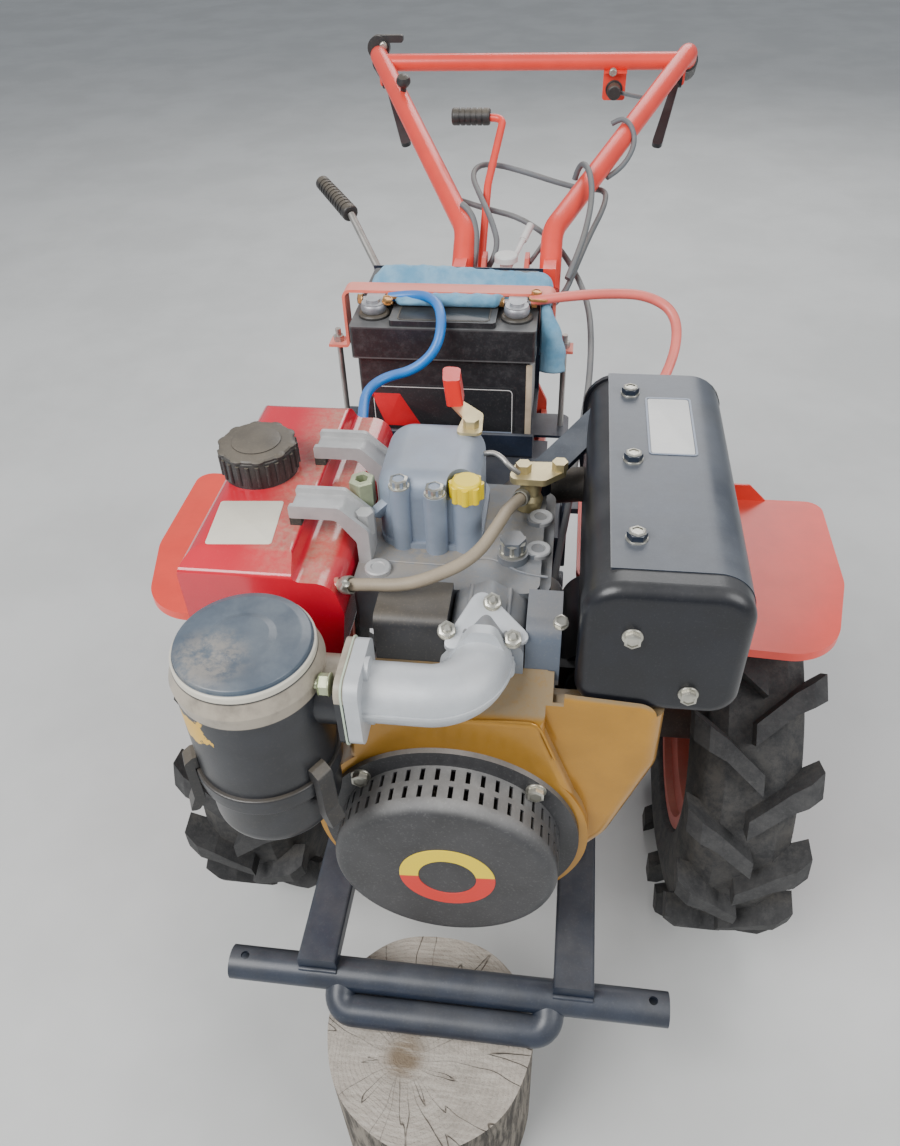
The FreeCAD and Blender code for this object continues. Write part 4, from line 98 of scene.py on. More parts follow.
def surface_point(tree, shift=None, turn=(0.0, 0.0, 0.0)):
    place = made(tree, "TexCoord").outputs["Object"]
    if shift:
        place = made(tree, "Mapping", Location=shift, Rotation=turn, Vector=place).outputs["Vector"]
    return place


def parts_of(tree, vector):
    return made(tree, "SeparateXYZ", Vector=vector).outputs


def facing_up(tree):
    return parts_of(tree, made(tree, "TexCoord").outputs["Normal"])[2]


def speckle(tree, size, detail=3.0, roughness=0.6, point=None, stretch=None):
    place = point or surface_point(tree)
    if stretch:
        place = made(tree, "Mapping", Scale=stretch, Vector=place).outputs["Vector"]
    noise = made(tree, "TexNoise", Scale=1.0 / size, Detail=detail, Roughness=roughness, Vector=place)
    return noise.outputs["Fac"]


def between(tree, value, low, high, first=0.0, second=1.0):
    node = made(tree, "MapRange", Value=value, From_Min=low, From_Max=high, To_Min=first, To_Max=second)
    node.interpolation_type = "SMOOTHSTEP"
    return node.outputs["Result"]


def sums(tree, kind, first, second, clamp=True):
    node = tree.nodes.new("ShaderNodeMath")
    node.operation = kind
    node.use_clamp = clamp
    joined(tree, node.inputs[0], first)
    joined(tree, node.inputs[1], second)
    return node.outputs[0]


def times(tree, first, *others):
    for other in others:
        first = sums(tree, "MULTIPLY", first, other)
    return first


def plus(tree, first, second):
    return sums(tree, "ADD", first, second)


def band(tree, value, low, high, soft):
    """One inside the band from low to high and nought outside, over a soft edge."""
    rise = between(tree, value, low - soft, low + soft)
    return times(tree, rise, between(tree, value, high - soft, high + soft, 1.0, 0.0))


def reach_from(tree, first, second):
    """Distance from the origin in the plane of two coordinates."""
    across = sums(tree, "MULTIPLY", first, first, False)
    along = sums(tree, "MULTIPLY", second, second, False)
    return sums(tree, "POWER", sums(tree, "ADD", across, along, False), 0.5, False)


def about_axis(tree, x, y):
    """Coordinates counted from an upright axis, and the distance from it."""
    parts = parts_of(tree, surface_point(tree, shift=(-x, -y, 0.0)))
    return parts, reach_from(tree, parts[0], parts[1])


def mixed(tree, factor, first, second):
    node = tree.nodes.new("ShaderNodeMix")
    node.data_type = "RGBA"
    joined(tree, node.inputs["Factor"], factor)
    for socket, value in ((node.inputs[6], first), (node.inputs[7], second)):
        joined(tree, socket, value if hasattr(value, "is_output") else (*value, 1.0))
    return node.outputs[2]


def relief(tree, shader, height, depth):
    bump = made(tree, "Bump", Strength=1.0, Distance=depth, Height=height)
    tree.links.new(bump.outputs["Normal"], shader.inputs["Normal"])


def shade(colour, amount):
    return tuple(min(1.0, part * amount) for part in colour)


# Colours of the dust that lies on the machine
TAN_DUST = (0.46, 0.38, 0.27)
GREY_DUST = (0.42, 0.41, 0.39)
CASE_DUST = (0.3, 0.3, 0.29)


def weathered(
    name,
    colour,
    roughness,
    metal,
    vary,
    dust_top,
    dust_all,
    dust=TAN_DUST,
    grain=0.0012,
    grain_depth=0.00006,
    coat=0.0,
    chips=0.0,
    chip_colour=(0.13, 0.09, 0.07),
    layers=None,
):
    """Slightly uneven paint or metal with dust on top, a film of fine specks and a fine relief."""
    tree, shader = open_finish(name)
    patches = between(tree, speckle(tree, 0.05, 4.0), 0.3, 0.7)
    paint = mixed(tree, patches, shade(colour, 1 - vary), shade(colour, 1 + vary))
    if layers:
        paint = layers(tree, paint)
    if chips:
        chip_marks = between(tree, speckle(tree, 0.011, 6.0, 0.75), 0.76 - chips, 0.79 - chips)
        paint = mixed(tree, chip_marks, paint, chip_colour)
    up = between(tree, facing_up(tree), 0.2, 1.0)
    film = between(tree, speckle(tree, 0.06, 6.0, 0.62), 0.25, 0.75, 0.45, 1.0)
    specks = between(tree, speckle(tree, 0.0026, 3.0, 0.7), 0.54, 0.72)
    top_dust = times(tree, up, dust_top, film)
    all_dust = times(tree, plus(tree, specks, times(tree, film, 0.35)), dust_all)
    dusty = plus(tree, top_dust, all_dust)
    tree.links.new(mixed(tree, dusty, paint, dust), shader.inputs["Base Color"])
    tree.links.new(between(tree, dusty, 0.0, 0.8, roughness, 0.9), shader.inputs["Roughness"])
    if metal:
        tree.links.new(between(tree, dusty, 0.0, 0.7, metal, 0.0), shader.inputs["Metallic"])
    if coat:
        shader.inputs["Coat Weight"].default_value = coat
        shader.inputs["Coat Roughness"].default_value = 0.12
    relief(tree, shader, speckle(tree, grain), grain_depth)


# Layers that follow a piece's own places
def head_layers(tree, paint):
    """Beige dust gathered round the rocker cover's foot and in the head's corners."""
    reach = about_axis(tree, *ROCKER)[1]
    near = between(tree, reach, 0.045, 0.115, 0.85, 0.15)
    ragged = between(tree, speckle(tree, 0.02, 6.0, 0.7), 0.4, 0.6)
    return mixed(tree, times(tree, near, ragged), paint, (0.3, 0.25, 0.19))


def guide_layers(tree, paint):
    """Charcoal guide on the machine's right, blue-grey guide on its left, a painted highlight band along the
    foot's lip.
    """
    places = parts_of(tree, surface_point(tree))
    left = between(tree, places[0], 0.0, 0.01)
    # Painted highlight: the guide's foot below the lip line is mixed towards pale grey.
    low = between(tree, places[2], 0.688, 0.692, 0.4, 0.0)
    sides = mixed(tree, left, paint, (0.085, 0.11, 0.15))
    return mixed(tree, low, sides, (0.46, 0.46, 0.45))


def shroud_layers(tree, paint):
    """The slope under the head is covered in dry tan dust, down to the bright bend of its front edge."""
    places = parts_of(tree, surface_point(tree))
    slope = between(tree, facing_up(tree), 0.12, 0.42)
    behind_edge = between(tree, places[1], -0.603, -0.598)
    ragged = between(tree, speckle(tree, 0.006, 6.0, 0.75), 0.3, 0.55, 0.62, 1.0)
    return mixed(tree, times(tree, slope, behind_edge, ragged), paint, (0.36, 0.26, 0.145))


def guard_layers(tree, paint):
    """A dusty strip runs along the guard's inner edge."""
    places = parts_of(tree, surface_point(tree))
    inner = between(tree, places[0], 0.122, 0.128, 0.75, 0.0)
    strip = times(tree, inner, between(tree, places[2], 0.806, 0.809))
    return mixed(tree, strip, paint, (0.34, 0.31, 0.27))


def cleaner_layers(tree, paint):
    """Blue-grey cap with a dust patch, cream rim, dusty skirt, black can and a torn yellow patch."""
    parts, reach = about_axis(tree, *CLEANER)
    on_cap = times(tree, between(tree, parts[2], 0.7795, 0.78), between(tree, reach, 0.0585, 0.058))
    skirt = times(tree, band(tree, parts[2], 0.746, 0.7735, 0.0006), between(tree, reach, 0.06, 0.0606))
    soft_skirt = between(tree, speckle(tree, 0.022, 6.0, 0.6), 0.15, 0.6, 0.45, 1.0)
    rim = times(tree, band(tree, parts[2], 0.7735, 0.7806, 0.0004), between(tree, reach, 0.0578, 0.0582))
    clouds = between(tree, speckle(tree, 0.03, 5.0), 0.3, 0.7)
    cap_colour = mixed(tree, clouds, (0.06, 0.088, 0.125), (0.095, 0.13, 0.17))
    heap_reach = about_axis(tree, CLEANER[0] - 0.02, CLEANER[1] - 0.026)[1]
    pile = between(tree, heap_reach, 0.012, 0.042, 1.0, 0.0)
    ragged = between(tree, speckle(tree, 0.012, 7.0, 0.75), 0.36, 0.6)
    dusty_cap = mixed(tree, times(tree, pile, ragged, 0.6), cap_colour, (0.36, 0.32, 0.27))
    can = mixed(tree, on_cap, paint, dusty_cap)
    with_skirt = mixed(tree, times(tree, skirt, soft_skirt), can, (0.4, 0.35, 0.28))
    with_rim = mixed(tree, rim, with_skirt, (0.66, 0.62, 0.52))
    waver_x = between(tree, speckle(tree, 0.02, 4.0), 0.2, 0.8, -0.008, 0.008)
    waver_z = between(tree, speckle(tree, 0.016, 4.0), 0.2, 0.8, -0.009, 0.009)
    tear_x = band(tree, sums(tree, "ADD", parts[0], waver_x, False), -0.053, -0.024, 0.0006)
    tear_z = band(tree, sums(tree, "ADD", parts[2], waver_z, False), 0.714, 0.743, 0.0006)
    front_only = times(tree, tear_x, tear_z, between(tree, parts[1], -0.01, -0.012))
    return mixed(tree, front_only, with_rim, (0.72, 0.42, 0.03))


def tank_layers(tree, paint):
    """Dust settled on the tank's flat top towards the engine, and a painted highlight along the shoulder."""
    places = parts_of(tree, surface_point(tree))
    top = between(tree, facing_up(tree), 0.8, 0.98)
    inner = between(tree, places[0], -0.215, -0.165)
    ragged = between(tree, speckle(tree, 0.006, 7.0, 0.7), 0.25, 0.75, 0.3, 1.0)
    dusted = mixed(tree, times(tree, top, inner, ragged, 0.75), paint, (0.44, 0.33, 0.23))
    # Painted highlight: the shoulder's upward-facing faces are mixed towards a paler red.
    shoulder_highlight = times(
        tree, between(tree, places[0], -0.15, -0.14), between(tree, facing_up(tree), 0.3, 0.75), 0.1
    )
    return mixed(tree, shoulder_highlight, dusted, (0.8, 0.17, 0.1))


def battery_layers(tree, paint):
    """Grey scuffs and a pale worn line along the lid's lower ledge."""
    places = parts_of(tree, surface_point(tree))
    ledge = times(tree, band(tree, places[2], 0.7365, 0.74, 0.0006), 0.55)
    edge = times(tree, band(tree, places[2], 0.78, 0.7825, 0.0005), 0.3)
    streaks = between(tree, speckle(tree, 0.012, 6.0, 0.75), 0.45, 0.75, 0.0, 0.22)
    worn = plus(tree, plus(tree, ledge, edge), streaks)
    return mixed(tree, worn, paint, (0.16, 0.16, 0.16))


def ring_layers(tree, paint):
    """Blank ring: its upper half yellow, its lower half red."""
    places = parts_of(tree, surface_point(tree, shift=(-RING_X, 0.0, -RING_Z), turn=(0.0, 0.1, 0.0)))
    return mixed(tree, between(tree, places[2], -0.001, 0.001), (0.7, 0.025, 0.015), (0.9, 0.66, 0.01))


# Each paint or metal: colour, roughness, metal, unevenness, dust on top, dust all over, other settings
PAINTS = {
    "coral_paint": (
        (0.88, 0.06, 0.036), 0.36, 0.0, 0.05, 0.06, 0.04,
        dict(coat=0.15, chips=0.01, grain=0.004, grain_depth=0.00004),
    ),
    "coral_matt": ((0.7, 0.065, 0.045), 0.42, 0.0, 0.1, 0.18, 0.08, dict(chips=0.03)),
    "bar_coral": ((0.9, 0.2, 0.14), 0.42, 0.0, 0.06, 0.45, 0.05, dict(dust=(0.85, 0.5, 0.42), chips=0.02)),
    "frame_paint": (
        (0.008, 0.015, 0.032), 0.32, 0.0, 0.25, 0.17, 0.05,
        dict(dust=GREY_DUST, chips=0.03, chip_colour=(0.16, 0.1, 0.07)),
    ),
    "cast_alloy": (
        (0.47, 0.47, 0.465), 0.5, 0.35, 0.14, 0.15, 0.14,
        dict(dust=GREY_DUST, grain=0.0009, grain_depth=0.00014),
    ),
    "elbow_alloy": (
        (0.55, 0.575, 0.6), 0.46, 0.3, 0.09, 0.16, 0.16,
        dict(dust=(0.52, 0.47, 0.4), grain=0.001, grain_depth=0.00018),
    ),
    "fin_alloy": ((0.17, 0.175, 0.18), 0.7, 0.3, 0.2, 0.5, 0.25, {}),
    "rocker_grey": ((0.27, 0.325, 0.41), 0.4, 0.25, 0.1, 0.18, 0.12, dict(grain=0.0009, grain_depth=0.0001)),
    "cover_black": ((0.028, 0.028, 0.031), 0.44, 0.0, 0.25, 0.62, 0.13, dict(dust=GREY_DUST)),
    "muffler_black": ((0.005, 0.006, 0.01), 0.3, 0.0, 0.3, 0.14, 0.035, dict(dust=(0.36, 0.35, 0.33))),
    "black_plastic": ((0.02, 0.021, 0.024), 0.4, 0.0, 0.2, 0.25, 0.1, {}),
    "yellow_plastic": ((0.9, 0.66, 0.008), 0.32, 0.0, 0.04, 0.06, 0.03, {}),
    "red_plastic": ((0.72, 0.016, 0.01), 0.28, 0.0, 0.05, 0.08, 0.03, {}),
    "zinc_yellow": ((0.62, 0.52, 0.28), 0.34, 0.75, 0.15, 0.2, 0.1, {}),
    "bright_zinc": (
        (0.5, 0.49, 0.43), 0.32, 0.8, 0.2, 0.1, 0.1, dict(chips=0.04, chip_colour=(0.3, 0.2, 0.1)),
    ),
    "green_zinc": ((0.5, 0.56, 0.36), 0.36, 0.6, 0.2, 0.15, 0.1, {}),
    "brass_yellow": ((0.62, 0.33, 0.12), 0.34, 0.85, 0.2, 0.12, 0.1, {}),
    "plain_steel": (
        (0.42, 0.41, 0.39), 0.4, 0.8, 0.2, 0.25, 0.12, dict(chips=0.05, chip_colour=(0.2, 0.1, 0.05)),
    ),
    "dark_steel": (
        (0.085, 0.08, 0.078), 0.5, 0.6, 0.3, 0.3, 0.2, dict(chips=0.1, chip_colour=(0.17, 0.08, 0.04)),
    ),
    "lead_grey": (
        (0.36, 0.36, 0.38), 0.45, 0.7, 0.2, 0.3, 0.2,
        dict(dust=(0.7, 0.7, 0.68), grain=0.002, grain_depth=0.0002),
    ),
    "pad_black": ((0.022, 0.022, 0.022), 0.8, 0.0, 0.2, 0.4, 0.2, {}),
    "rim_coral": ((0.62, 0.1, 0.07), 0.45, 0.0, 0.12, 0.3, 0.3, dict(chips=0.05)),
    "cream_paint": ((0.78, 0.74, 0.62), 0.5, 0.0, 0.06, 0.15, 0.1, dict(grain=0.001, grain_depth=0.00005)),
    "label_black": ((0.014, 0.015, 0.018), 0.28, 0.0, 0.1, 0.1, 0.12, dict(dust=CASE_DUST, grain=0.003)),
    "label_white": ((0.72, 0.72, 0.7), 0.4, 0.0, 0.05, 0.1, 0.12, dict(grain=0.003)),
    "label_red": ((0.62, 0.01, 0.02), 0.3, 0.0, 0.08, 0.05, 0.05, dict(grain=0.003)),
    "label_grey": ((0.2, 0.24, 0.32), 0.35, 0.0, 0.08, 0.08, 0.08, dict(grain=0.003)),
    "clear_strap": ((0.52, 0.43, 0.31), 0.3, 0.0, 0.2, 0.1, 0.25, dict(grain=0.004, grain_depth=0.0002)),
    "pale_green": ((0.5, 0.6, 0.47), 0.5, 0.0, 0.1, 0.2, 0.12, {}),
    "tie_white": ((0.7, 0.71, 0.7), 0.45, 0.0, 0.08, 0.2, 0.15, {}),
    "head_alloy": (
        (0.19, 0.215, 0.25), 0.5, 0.25, 0.14, 0.24, 0.18,
        dict(grain=0.0011, grain_depth=0.00016, layers=head_layers),
    ),
    "case_alloy": ((0.34, 0.36, 0.38), 0.58, 0.35, 0.14, 0.5, 0.22, dict(grain=0.0011, grain_depth=0.00014)),
    "guide_black": ((0.024, 0.026, 0.031), 0.4, 0.0, 0.2, 0.22, 0.12, dict(layers=guide_layers)),
    "shroud_gold": (
        (0.46, 0.22, 0.018), 0.3, 0.45, 0.08, 0.12, 0.08,
        dict(coat=0.35, dust=(0.42, 0.32, 0.2), layers=shroud_layers),
    ),
    "guard_blue": (
        (0.012, 0.02, 0.036), 0.3, 0.0, 0.25, 0.22, 0.06,
        dict(dust=(0.42, 0.43, 0.44), layers=guard_layers),
    ),
    "cleaner_black": ((0.016, 0.018, 0.023), 0.32, 0.0, 0.3, 0.12, 0.03, dict(layers=cleaner_layers)),
    "bowl_black": ((0.016, 0.018, 0.023), 0.3, 0.0, 0.3, 0.55, 0.05, {}),
    "tank_finish": (
        (0.66, 0.004, 0.028), 0.2, 0.0, 0.05, 0.03, 0.04,
        dict(coat=0.8, grain=0.006, grain_depth=0.00003, layers=tank_layers),
    ),
    "battery_black": (
        (0.016, 0.016, 0.019), 0.34, 0.0, 0.2, 0.34, 0.08,
        dict(dust=CASE_DUST, grain=0.0016, layers=battery_layers),
    ),
    "ring_print": (
        (0.8, 0.5, 0.02), 0.34, 0.0, 0.05, 0.1, 0.06, dict(dust=GREY_DUST, grain=0.003, layers=ring_layers),
    ),
    "tan_hose": ((0.3, 0.245, 0.175), 0.5, 0.0, 0.1, 0.2, 0.25, dict(grain=0.002)),
    "blue_cable": ((0.004, 0.19, 0.62), 0.32, 0.0, 0.1, 0.2, 0.04, dict(grain=0.002)),
    "salmon_cable": ((0.84, 0.17, 0.14), 0.35, 0.0, 0.1, 0.2, 0.04, dict(grain=0.002)),
    "grey_cable": ((0.13, 0.145, 0.16), 0.5, 0.0, 0.1, 0.2, 0.1, dict(grain=0.002)),
}
for finish_name, (*row, settings) in PAINTS.items():
    weathered(finish_name, *row, **settings)


def tyre_finish(name, centre_x):
    """Lugged rubber: worn grey faces, dry mud below the lugs' tops and fine scuffs."""
    tree, shader = open_finish(name)
    parts = parts_of(tree, surface_point(tree, shift=(-centre_x, -AXLE_Y, -AXLE_Z)))
    reach = reach_from(tree, parts[1], parts[2])
    clumps = speckle(tree, 0.026, 8.0, 0.8)
    mud = times(tree, between(tree, reach, 0.276, 0.262), between(tree, clumps, 0.4, 0.66))
    scuffs = between(tree, speckle(tree, 0.006, 5.0, 0.75), 0.5, 0.7)
    rubber = mixed(tree, between(tree, clumps, 0.3, 0.7), (0.026, 0.026, 0.027), (0.06, 0.059, 0.058))
    scuffed = mixed(tree, times(tree, scuffs, 0.25), rubber, (0.12, 0.118, 0.112))
    muddy = mixed(tree, times(tree, mud, 0.38), scuffed, (0.115, 0.1, 0.08))
    tree.links.new(muddy, shader.inputs["Base Color"])
    shader.inputs["Roughness"].default_value = 0.78
    fine = speckle(tree, 0.0025, 4.0, 0.7)
    relief(tree, shader, plus(tree, times(tree, clumps, 0.6), times(tree, fine, 0.25)), 0.001)


def log_finish(name):
    """Weathered sawn log: pale rings, dark radial cracks and saw marks on top, furrowed bark on its side."""
    tree, shader = open_finish(name)
    centred = surface_point(tree, shift=(-LOG[0], -LOG[1], 0.0))
    wander = made(tree, "TexNoise", Scale=9.0, Detail=2.0, Vector=centred)
    shifted = tree.nodes.new("ShaderNodeMix")
    shifted.data_type = "VECTOR"
    shifted.inputs["Factor"].default_value = 0.035
    tree.links.new(centred, shifted.inputs[4])
    tree.links.new(wander.outputs["Color"], shifted.inputs[5])
    parts = parts_of(tree, shifted.outputs[1])
    reach = reach_from(tree, parts[0], parts[1])
    rings = sums(tree, "SINE", sums(tree, "MULTIPLY", reach, 1250.0, False), 0.0, False)
    blotches = between(tree, speckle(tree, 0.05, 4.0), 0.3, 0.7)
    sawn = mixed(tree, blotches, (0.46, 0.41, 0.35), (0.36, 0.32, 0.27))
    ringed = mixed(tree, times(tree, between(tree, rings, -0.6, 1.0), 0.16), sawn, (0.22, 0.18, 0.14))
    angle = sums(tree, "ARCTAN2", parts[1], parts[0], False)
    rays = tree.nodes.new("ShaderNodeCombineXYZ")
    tree.links.new(sums(tree, "MULTIPLY", angle, 0.35, False), rays.inputs[0])
    tree.links.new(sums(tree, "MULTIPLY", reach, 0.5, False), rays.inputs[1])
    crack_noise = speckle(tree, 0.09, 1.0, 0.5, point=rays.outputs[0])
    cracks = times(tree, band(tree, crack_noise, 0.496, 0.504, 0.004), between(tree, reach, 0.015, 0.04))
    cracked = mixed(tree, times(tree, cracks, 0.8), ringed, (0.09, 0.07, 0.05))
    heart = mixed(tree, between(tree, reach, 0.03, 0.008), cracked, (0.2, 0.15, 0.1))
    saw_marks = between(tree, speckle(tree, 0.004, 2.0, 0.5, stretch=(0.12, 1.0, 1.0)), 0.45, 0.7)
    top = mixed(tree, times(tree, saw_marks, 0.35), heart, (0.62, 0.57, 0.49))
    furrows = speckle(tree, 0.012, 5.0, 0.7, stretch=(1.0, 1.0, 0.16))
    bark = mixed(tree, between(tree, furrows, 0.38, 0.62), (0.05, 0.042, 0.034), (0.24, 0.21, 0.17))
    up = between(tree, facing_up(tree), 0.4, 0.7)
    tree.links.new(mixed(tree, up, bark, top), shader.inputs["Base Color"])
    shader.inputs["Roughness"].default_value = 0.85
    grooves = sums(tree, "ADD", furrows, times(tree, rings, 0.06), False)
    relief(tree, shader, sums(tree, "SUBTRACT", grooves, times(tree, cracks, 0.5), False), 0.004)


def cloth_finish(name):
    """Thin light-blue cloth: a fine weave, soft fading along the folds and grey grime."""
    tree, shader = open_finish(name)
    fade = between(tree, speckle(tree, 0.03, 4.0), 0.3, 0.7)
    base = mixed(tree, fade, (0.13, 0.4, 0.62), (0.3, 0.58, 0.78))
    grime = times(tree, between(tree, speckle(tree, 0.007, 6.0, 0.75), 0.56, 0.78), 0.6)
    tree.links.new(mixed(tree, grime, base, (0.16, 0.17, 0.18)), shader.inputs["Base Color"])
    shader.inputs["Roughness"].default_value = 0.92
    shader.inputs["Sheen Weight"].default_value = 0.25
    threads = []
    for direction, count in (("X", 420.0), ("DIAGONAL", 380.0)):
        wave = made(tree, "TexWave", Scale=count, Distortion=1.5, Vector=surface_point(tree))
        wave.bands_direction = direction
        threads.append(wave.outputs["Fac"])
    folds = sums(tree, "MULTIPLY", speckle(tree, 0.012, 3.0, 0.5), 3.0, False)
    relief(tree, shader, sums(tree, "ADD", times(tree, *threads), folds, False), 0.0005)


tyre_finish("tyre_left_rubber", WHEEL_LEFT_X)
tyre_finish("tyre_right_rubber", WHEEL_RIGHT_X)
log_finish("log_wood")
cloth_finish("washed_cloth")

# Finish of each CAD node
NODES = {
    "tyre_left_rubber": ["tyre_left"],
    "tyre_right_rubber": ["tyre_right"],
    "rim_coral": ["rim_left", "rim_right"],
    "dark_steel": ["hub_left", "hub_right", "flywheel_fan", "exhaust_pipe"],
    "frame_paint": [
        "front_frame", "clutch_housing", "gearbox", "axle_housings",
        "rear_hitch", "fender_stays", "battery_tray",
    ],
    "log_wood": ["log_stand"],
    "case_alloy": ["crankcase"],
    "fin_alloy": ["cylinder"],
    "head_alloy": ["cylinder_head"],
    "guide_black": ["head_air_guides"],
    "rocker_grey": ["rocker_cover"],
    "yellow_plastic": ["oil_filler_cap"],
    "zinc_yellow": ["decompression_lever", "injector"],
    "red_plastic": ["decompression_grip"],
    "shroud_gold": ["fan_shroud"],
    "cover_black": ["fan_cover"],
    "elbow_alloy": ["intake_elbow"],
    "cleaner_black": ["air_cleaner_body"],
    "bowl_black": ["air_cleaner_bowl"],
    "black_plastic": ["air_cleaner_clips", "fuel_cap", "throttle_lever", "stop_switch", "lever_grips"],
    "tank_finish": ["fuel_tank"],
    "cast_alloy": ["tank_brackets"],
    "pad_black": ["tank_pads"],
    "muffler_black": ["muffler", "starter_motor", "clutch_levers"],
    "guard_blue": ["muffler_guard"],
    "coral_paint": ["fender_left", "fender_right", "handlebar", "gear_lever"],
    "battery_black": ["battery"],
    "lead_grey": ["battery_clamps"],
    "bar_coral": ["battery_hold_down"],
    "plain_steel": ["hold_down_rods", "range_lever"],
    "coral_matt": ["handle_column"],
    "tie_white": ["column_clamp"],
    "tan_hose": ["fuel_hose"],
    "blue_cable": ["earth_cable"],
    "salmon_cable": ["starter_cable"],
    "grey_cable": ["control_cables"],
    "washed_cloth": ["folded_cloth"],
}
for finish_name, node_names in NODES.items():
    for node_name in node_names:
        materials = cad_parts[node_name].data.materials
        materials.clear()
        materials.append(finishes[finish_name])


# Modelling helpers
def lone(piece):
    bpy.ops.object.select_all(action="DESELECT")
    piece.select_set(True)
    bpy.context.view_layer.objects.active = piece


def edit_all():
    """Open the active piece in edit mode with all of it selected."""
    bpy.ops.object.mode_set(mode="EDIT")
    bpy.ops.mesh.select_mode(type="VERT")
    bpy.ops.mesh.select_all(action="SELECT")


def close_edit():
    bpy.ops.object.mode_set(mode="OBJECT")


def keep_place():
    bpy.ops.object.transform_apply(location=True, rotation=True, scale=True)


def stood(piece, place, way=UP, turn=0.0):
    """Turn a piece modelled upright at the origin to its way and place, and keep that in its mesh."""
    lean = Vector(way).normalized().to_track_quat("Z", "Y") @ Quaternion(UP, turn)
    piece.matrix_world = Matrix.Translation(place) @ lean.to_matrix().to_4x4()
    lone(piece)
    keep_place()
    return piece


def settled(piece, name, finish_name, angle=35.0):
    """Name a finished piece, put its faces right, give it its finish and let it ride the chassis."""
    lone(piece)
    keep_place()
    edit_all()
    bpy.ops.mesh.remove_doubles(threshold=0.00001)
    bpy.ops.mesh.normals_make_consistent(inside=False)
    close_edit()
    bpy.ops.object.shade_smooth_by_angle(angle=math.radians(angle))
    piece.name = name
    piece.data.materials.clear()
    piece.data.materials.append(finishes[finish_name])
    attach(piece, "chassis")
    bpy.ops.object.select_all(action="DESELECT")


def pick(piece, kind, wanted):
    """In edit mode, select the faces or corners that pass the test."""
    bpy.ops.mesh.select_mode(type=kind)
    bpy.ops.mesh.select_all(action="DESELECT")
    close_edit()
    for part in piece.data.polygons if kind == "FACE" else piece.data.vertices:
        part.select = wanted(part)
    bpy.ops.object.mode_set(mode="EDIT")


def extruded(height):
    bpy.ops.mesh.extrude_region_move(TRANSFORM_OT_translate={"value": (0.0, 0.0, height)})


def round_start(sides, radius, height, fill):
    bpy.ops.mesh.primitive_circle_add(
        vertices=sides, radius=radius, fill_type=fill, location=(0.0, 0.0, height)
    )
    piece = bpy.context.object
    keep_place()
    edit_all()
    return piece


def raised(start, others):
    """Extrude the selected loop from its radius and height through the others in turn."""
    radius, height = start
    for next_radius, next_height in others:
        extruded(next_height - height)
        scale = next_radius / radius
        bpy.ops.transform.resize(value=(scale, scale, 1.0), center_override=(0.0, 0.0, next_height))
        radius, height = next_radius, next_height


def turned(profile, sides):
    """A piece turned about the upright axis: each profile point is a radius and a height."""
    piece = round_start(sides, *profile[0], "NGON")
    raised(profile[0], profile[1:])
    close_edit()
    return piece


def ring(profile, sides):
    """A closed ring: the profile goes round its section, radius and height, and back to its start."""
    piece = round_start(sides, *profile[0], "NOTHING")
    raised(profile[0], profile[1:] + profile[:1])
    bpy.ops.mesh.select_all(action="SELECT")
    bpy.ops.mesh.remove_doubles(threshold=0.000001)
    bpy.ops.mesh.normals_make_consistent(inside=False)
    close_edit()
    return piece


def flat_start(width, depth, corner):
    bpy.ops.mesh.primitive_plane_add(size=1.0, location=(0.0, 0.0, 0.0))
    piece = bpy.context.object
    edit_all()
    bpy.ops.transform.resize(value=(width, depth, 1.0))
    bpy.ops.mesh.bevel(offset=corner, segments=6, affect="VERTICES")
    bpy.ops.mesh.select_all(action="SELECT")
    return piece


def slab(width, depth, height, corner, edge=0.0003):
    """A flat plate with round corners and a softened upper edge, its underside at the origin."""
    piece = flat_start(width, depth, corner)
    extruded(height)
    bpy.ops.mesh.bevel(offset=edge, segments=2, affect="EDGES")
    close_edit()
    return piece


def framed(width, depth, line, height, corner):
    """A thin raised frame line with round corners."""
    piece = flat_start(width, depth, corner)
    bpy.ops.mesh.inset(thickness=line, depth=0.0)
    bpy.ops.mesh.delete(type="FACE")
    bpy.ops.mesh.select_all(action="SELECT")
    extruded(height)
    close_edit()
    return piece


def merged(pieces):
    bpy.ops.object.select_all(action="DESELECT")
    for piece in pieces:
        piece.select_set(True)
    bpy.context.view_layer.objects.active = pieces[0]
    bpy.ops.object.join()
    return pieces[0]


def bolt_pattern(across, height, washer, thickness):
    """A hexagon head with a chamfered top and a dished end, on its round washer."""
    rim = washer * 0.96
    foot = turned([(washer, 0.0), (washer, thickness * 0.6), (rim, thickness), (washer * 0.5, thickness)], 28)
    middle = thickness * 0.8 + height / 2
    bpy.ops.mesh.primitive_cylinder_add(
        vertices=6, radius=across / math.sqrt(3.0), depth=height, location=(0.0, 0.0, middle)
    )
    head = bpy.context.object
    keep_place()
    bpy.ops.object.mode_set(mode="EDIT")
    pick(head, "FACE", lambda face: face.normal.z > 0.9)
    bpy.ops.mesh.bevel(offset=across * 0.08, segments=2, affect="EDGES")
    pick(head, "FACE", lambda face: face.normal.z > 0.9)
    bpy.ops.mesh.inset(thickness=across * 0.12, depth=0.0)
    bpy.ops.mesh.inset(thickness=across * 0.05, depth=-height * 0.08)
    close_edit()
    return merged([head, foot])


def stud_pattern(across, height, washer, thickness, stud):
    """A nut on its washer with the end of a stud standing through it."""
    nut = bolt_pattern(across, height, washer, thickness)
    top = thickness * 0.8 + height
    end = turned([(stud, top * 0.5), (stud, top + stud * 0.9), (stud * 0.7, top + stud * 1.2)], 16)
    return merged([nut, end])


def spread(name, finish_name, pattern, spots):
    """Copies of one fastener at its places, each with its own mesh, kept as one set."""
    copies = []
    for place, way in spots:
        copy = pattern.copy()
        copy.data = pattern.data.copy()
        bpy.context.collection.objects.link(copy)
        copies.append(stood(copy, place, way))
    bpy.data.objects.remove(pattern)
    settled(merged(copies), name, finish_name)


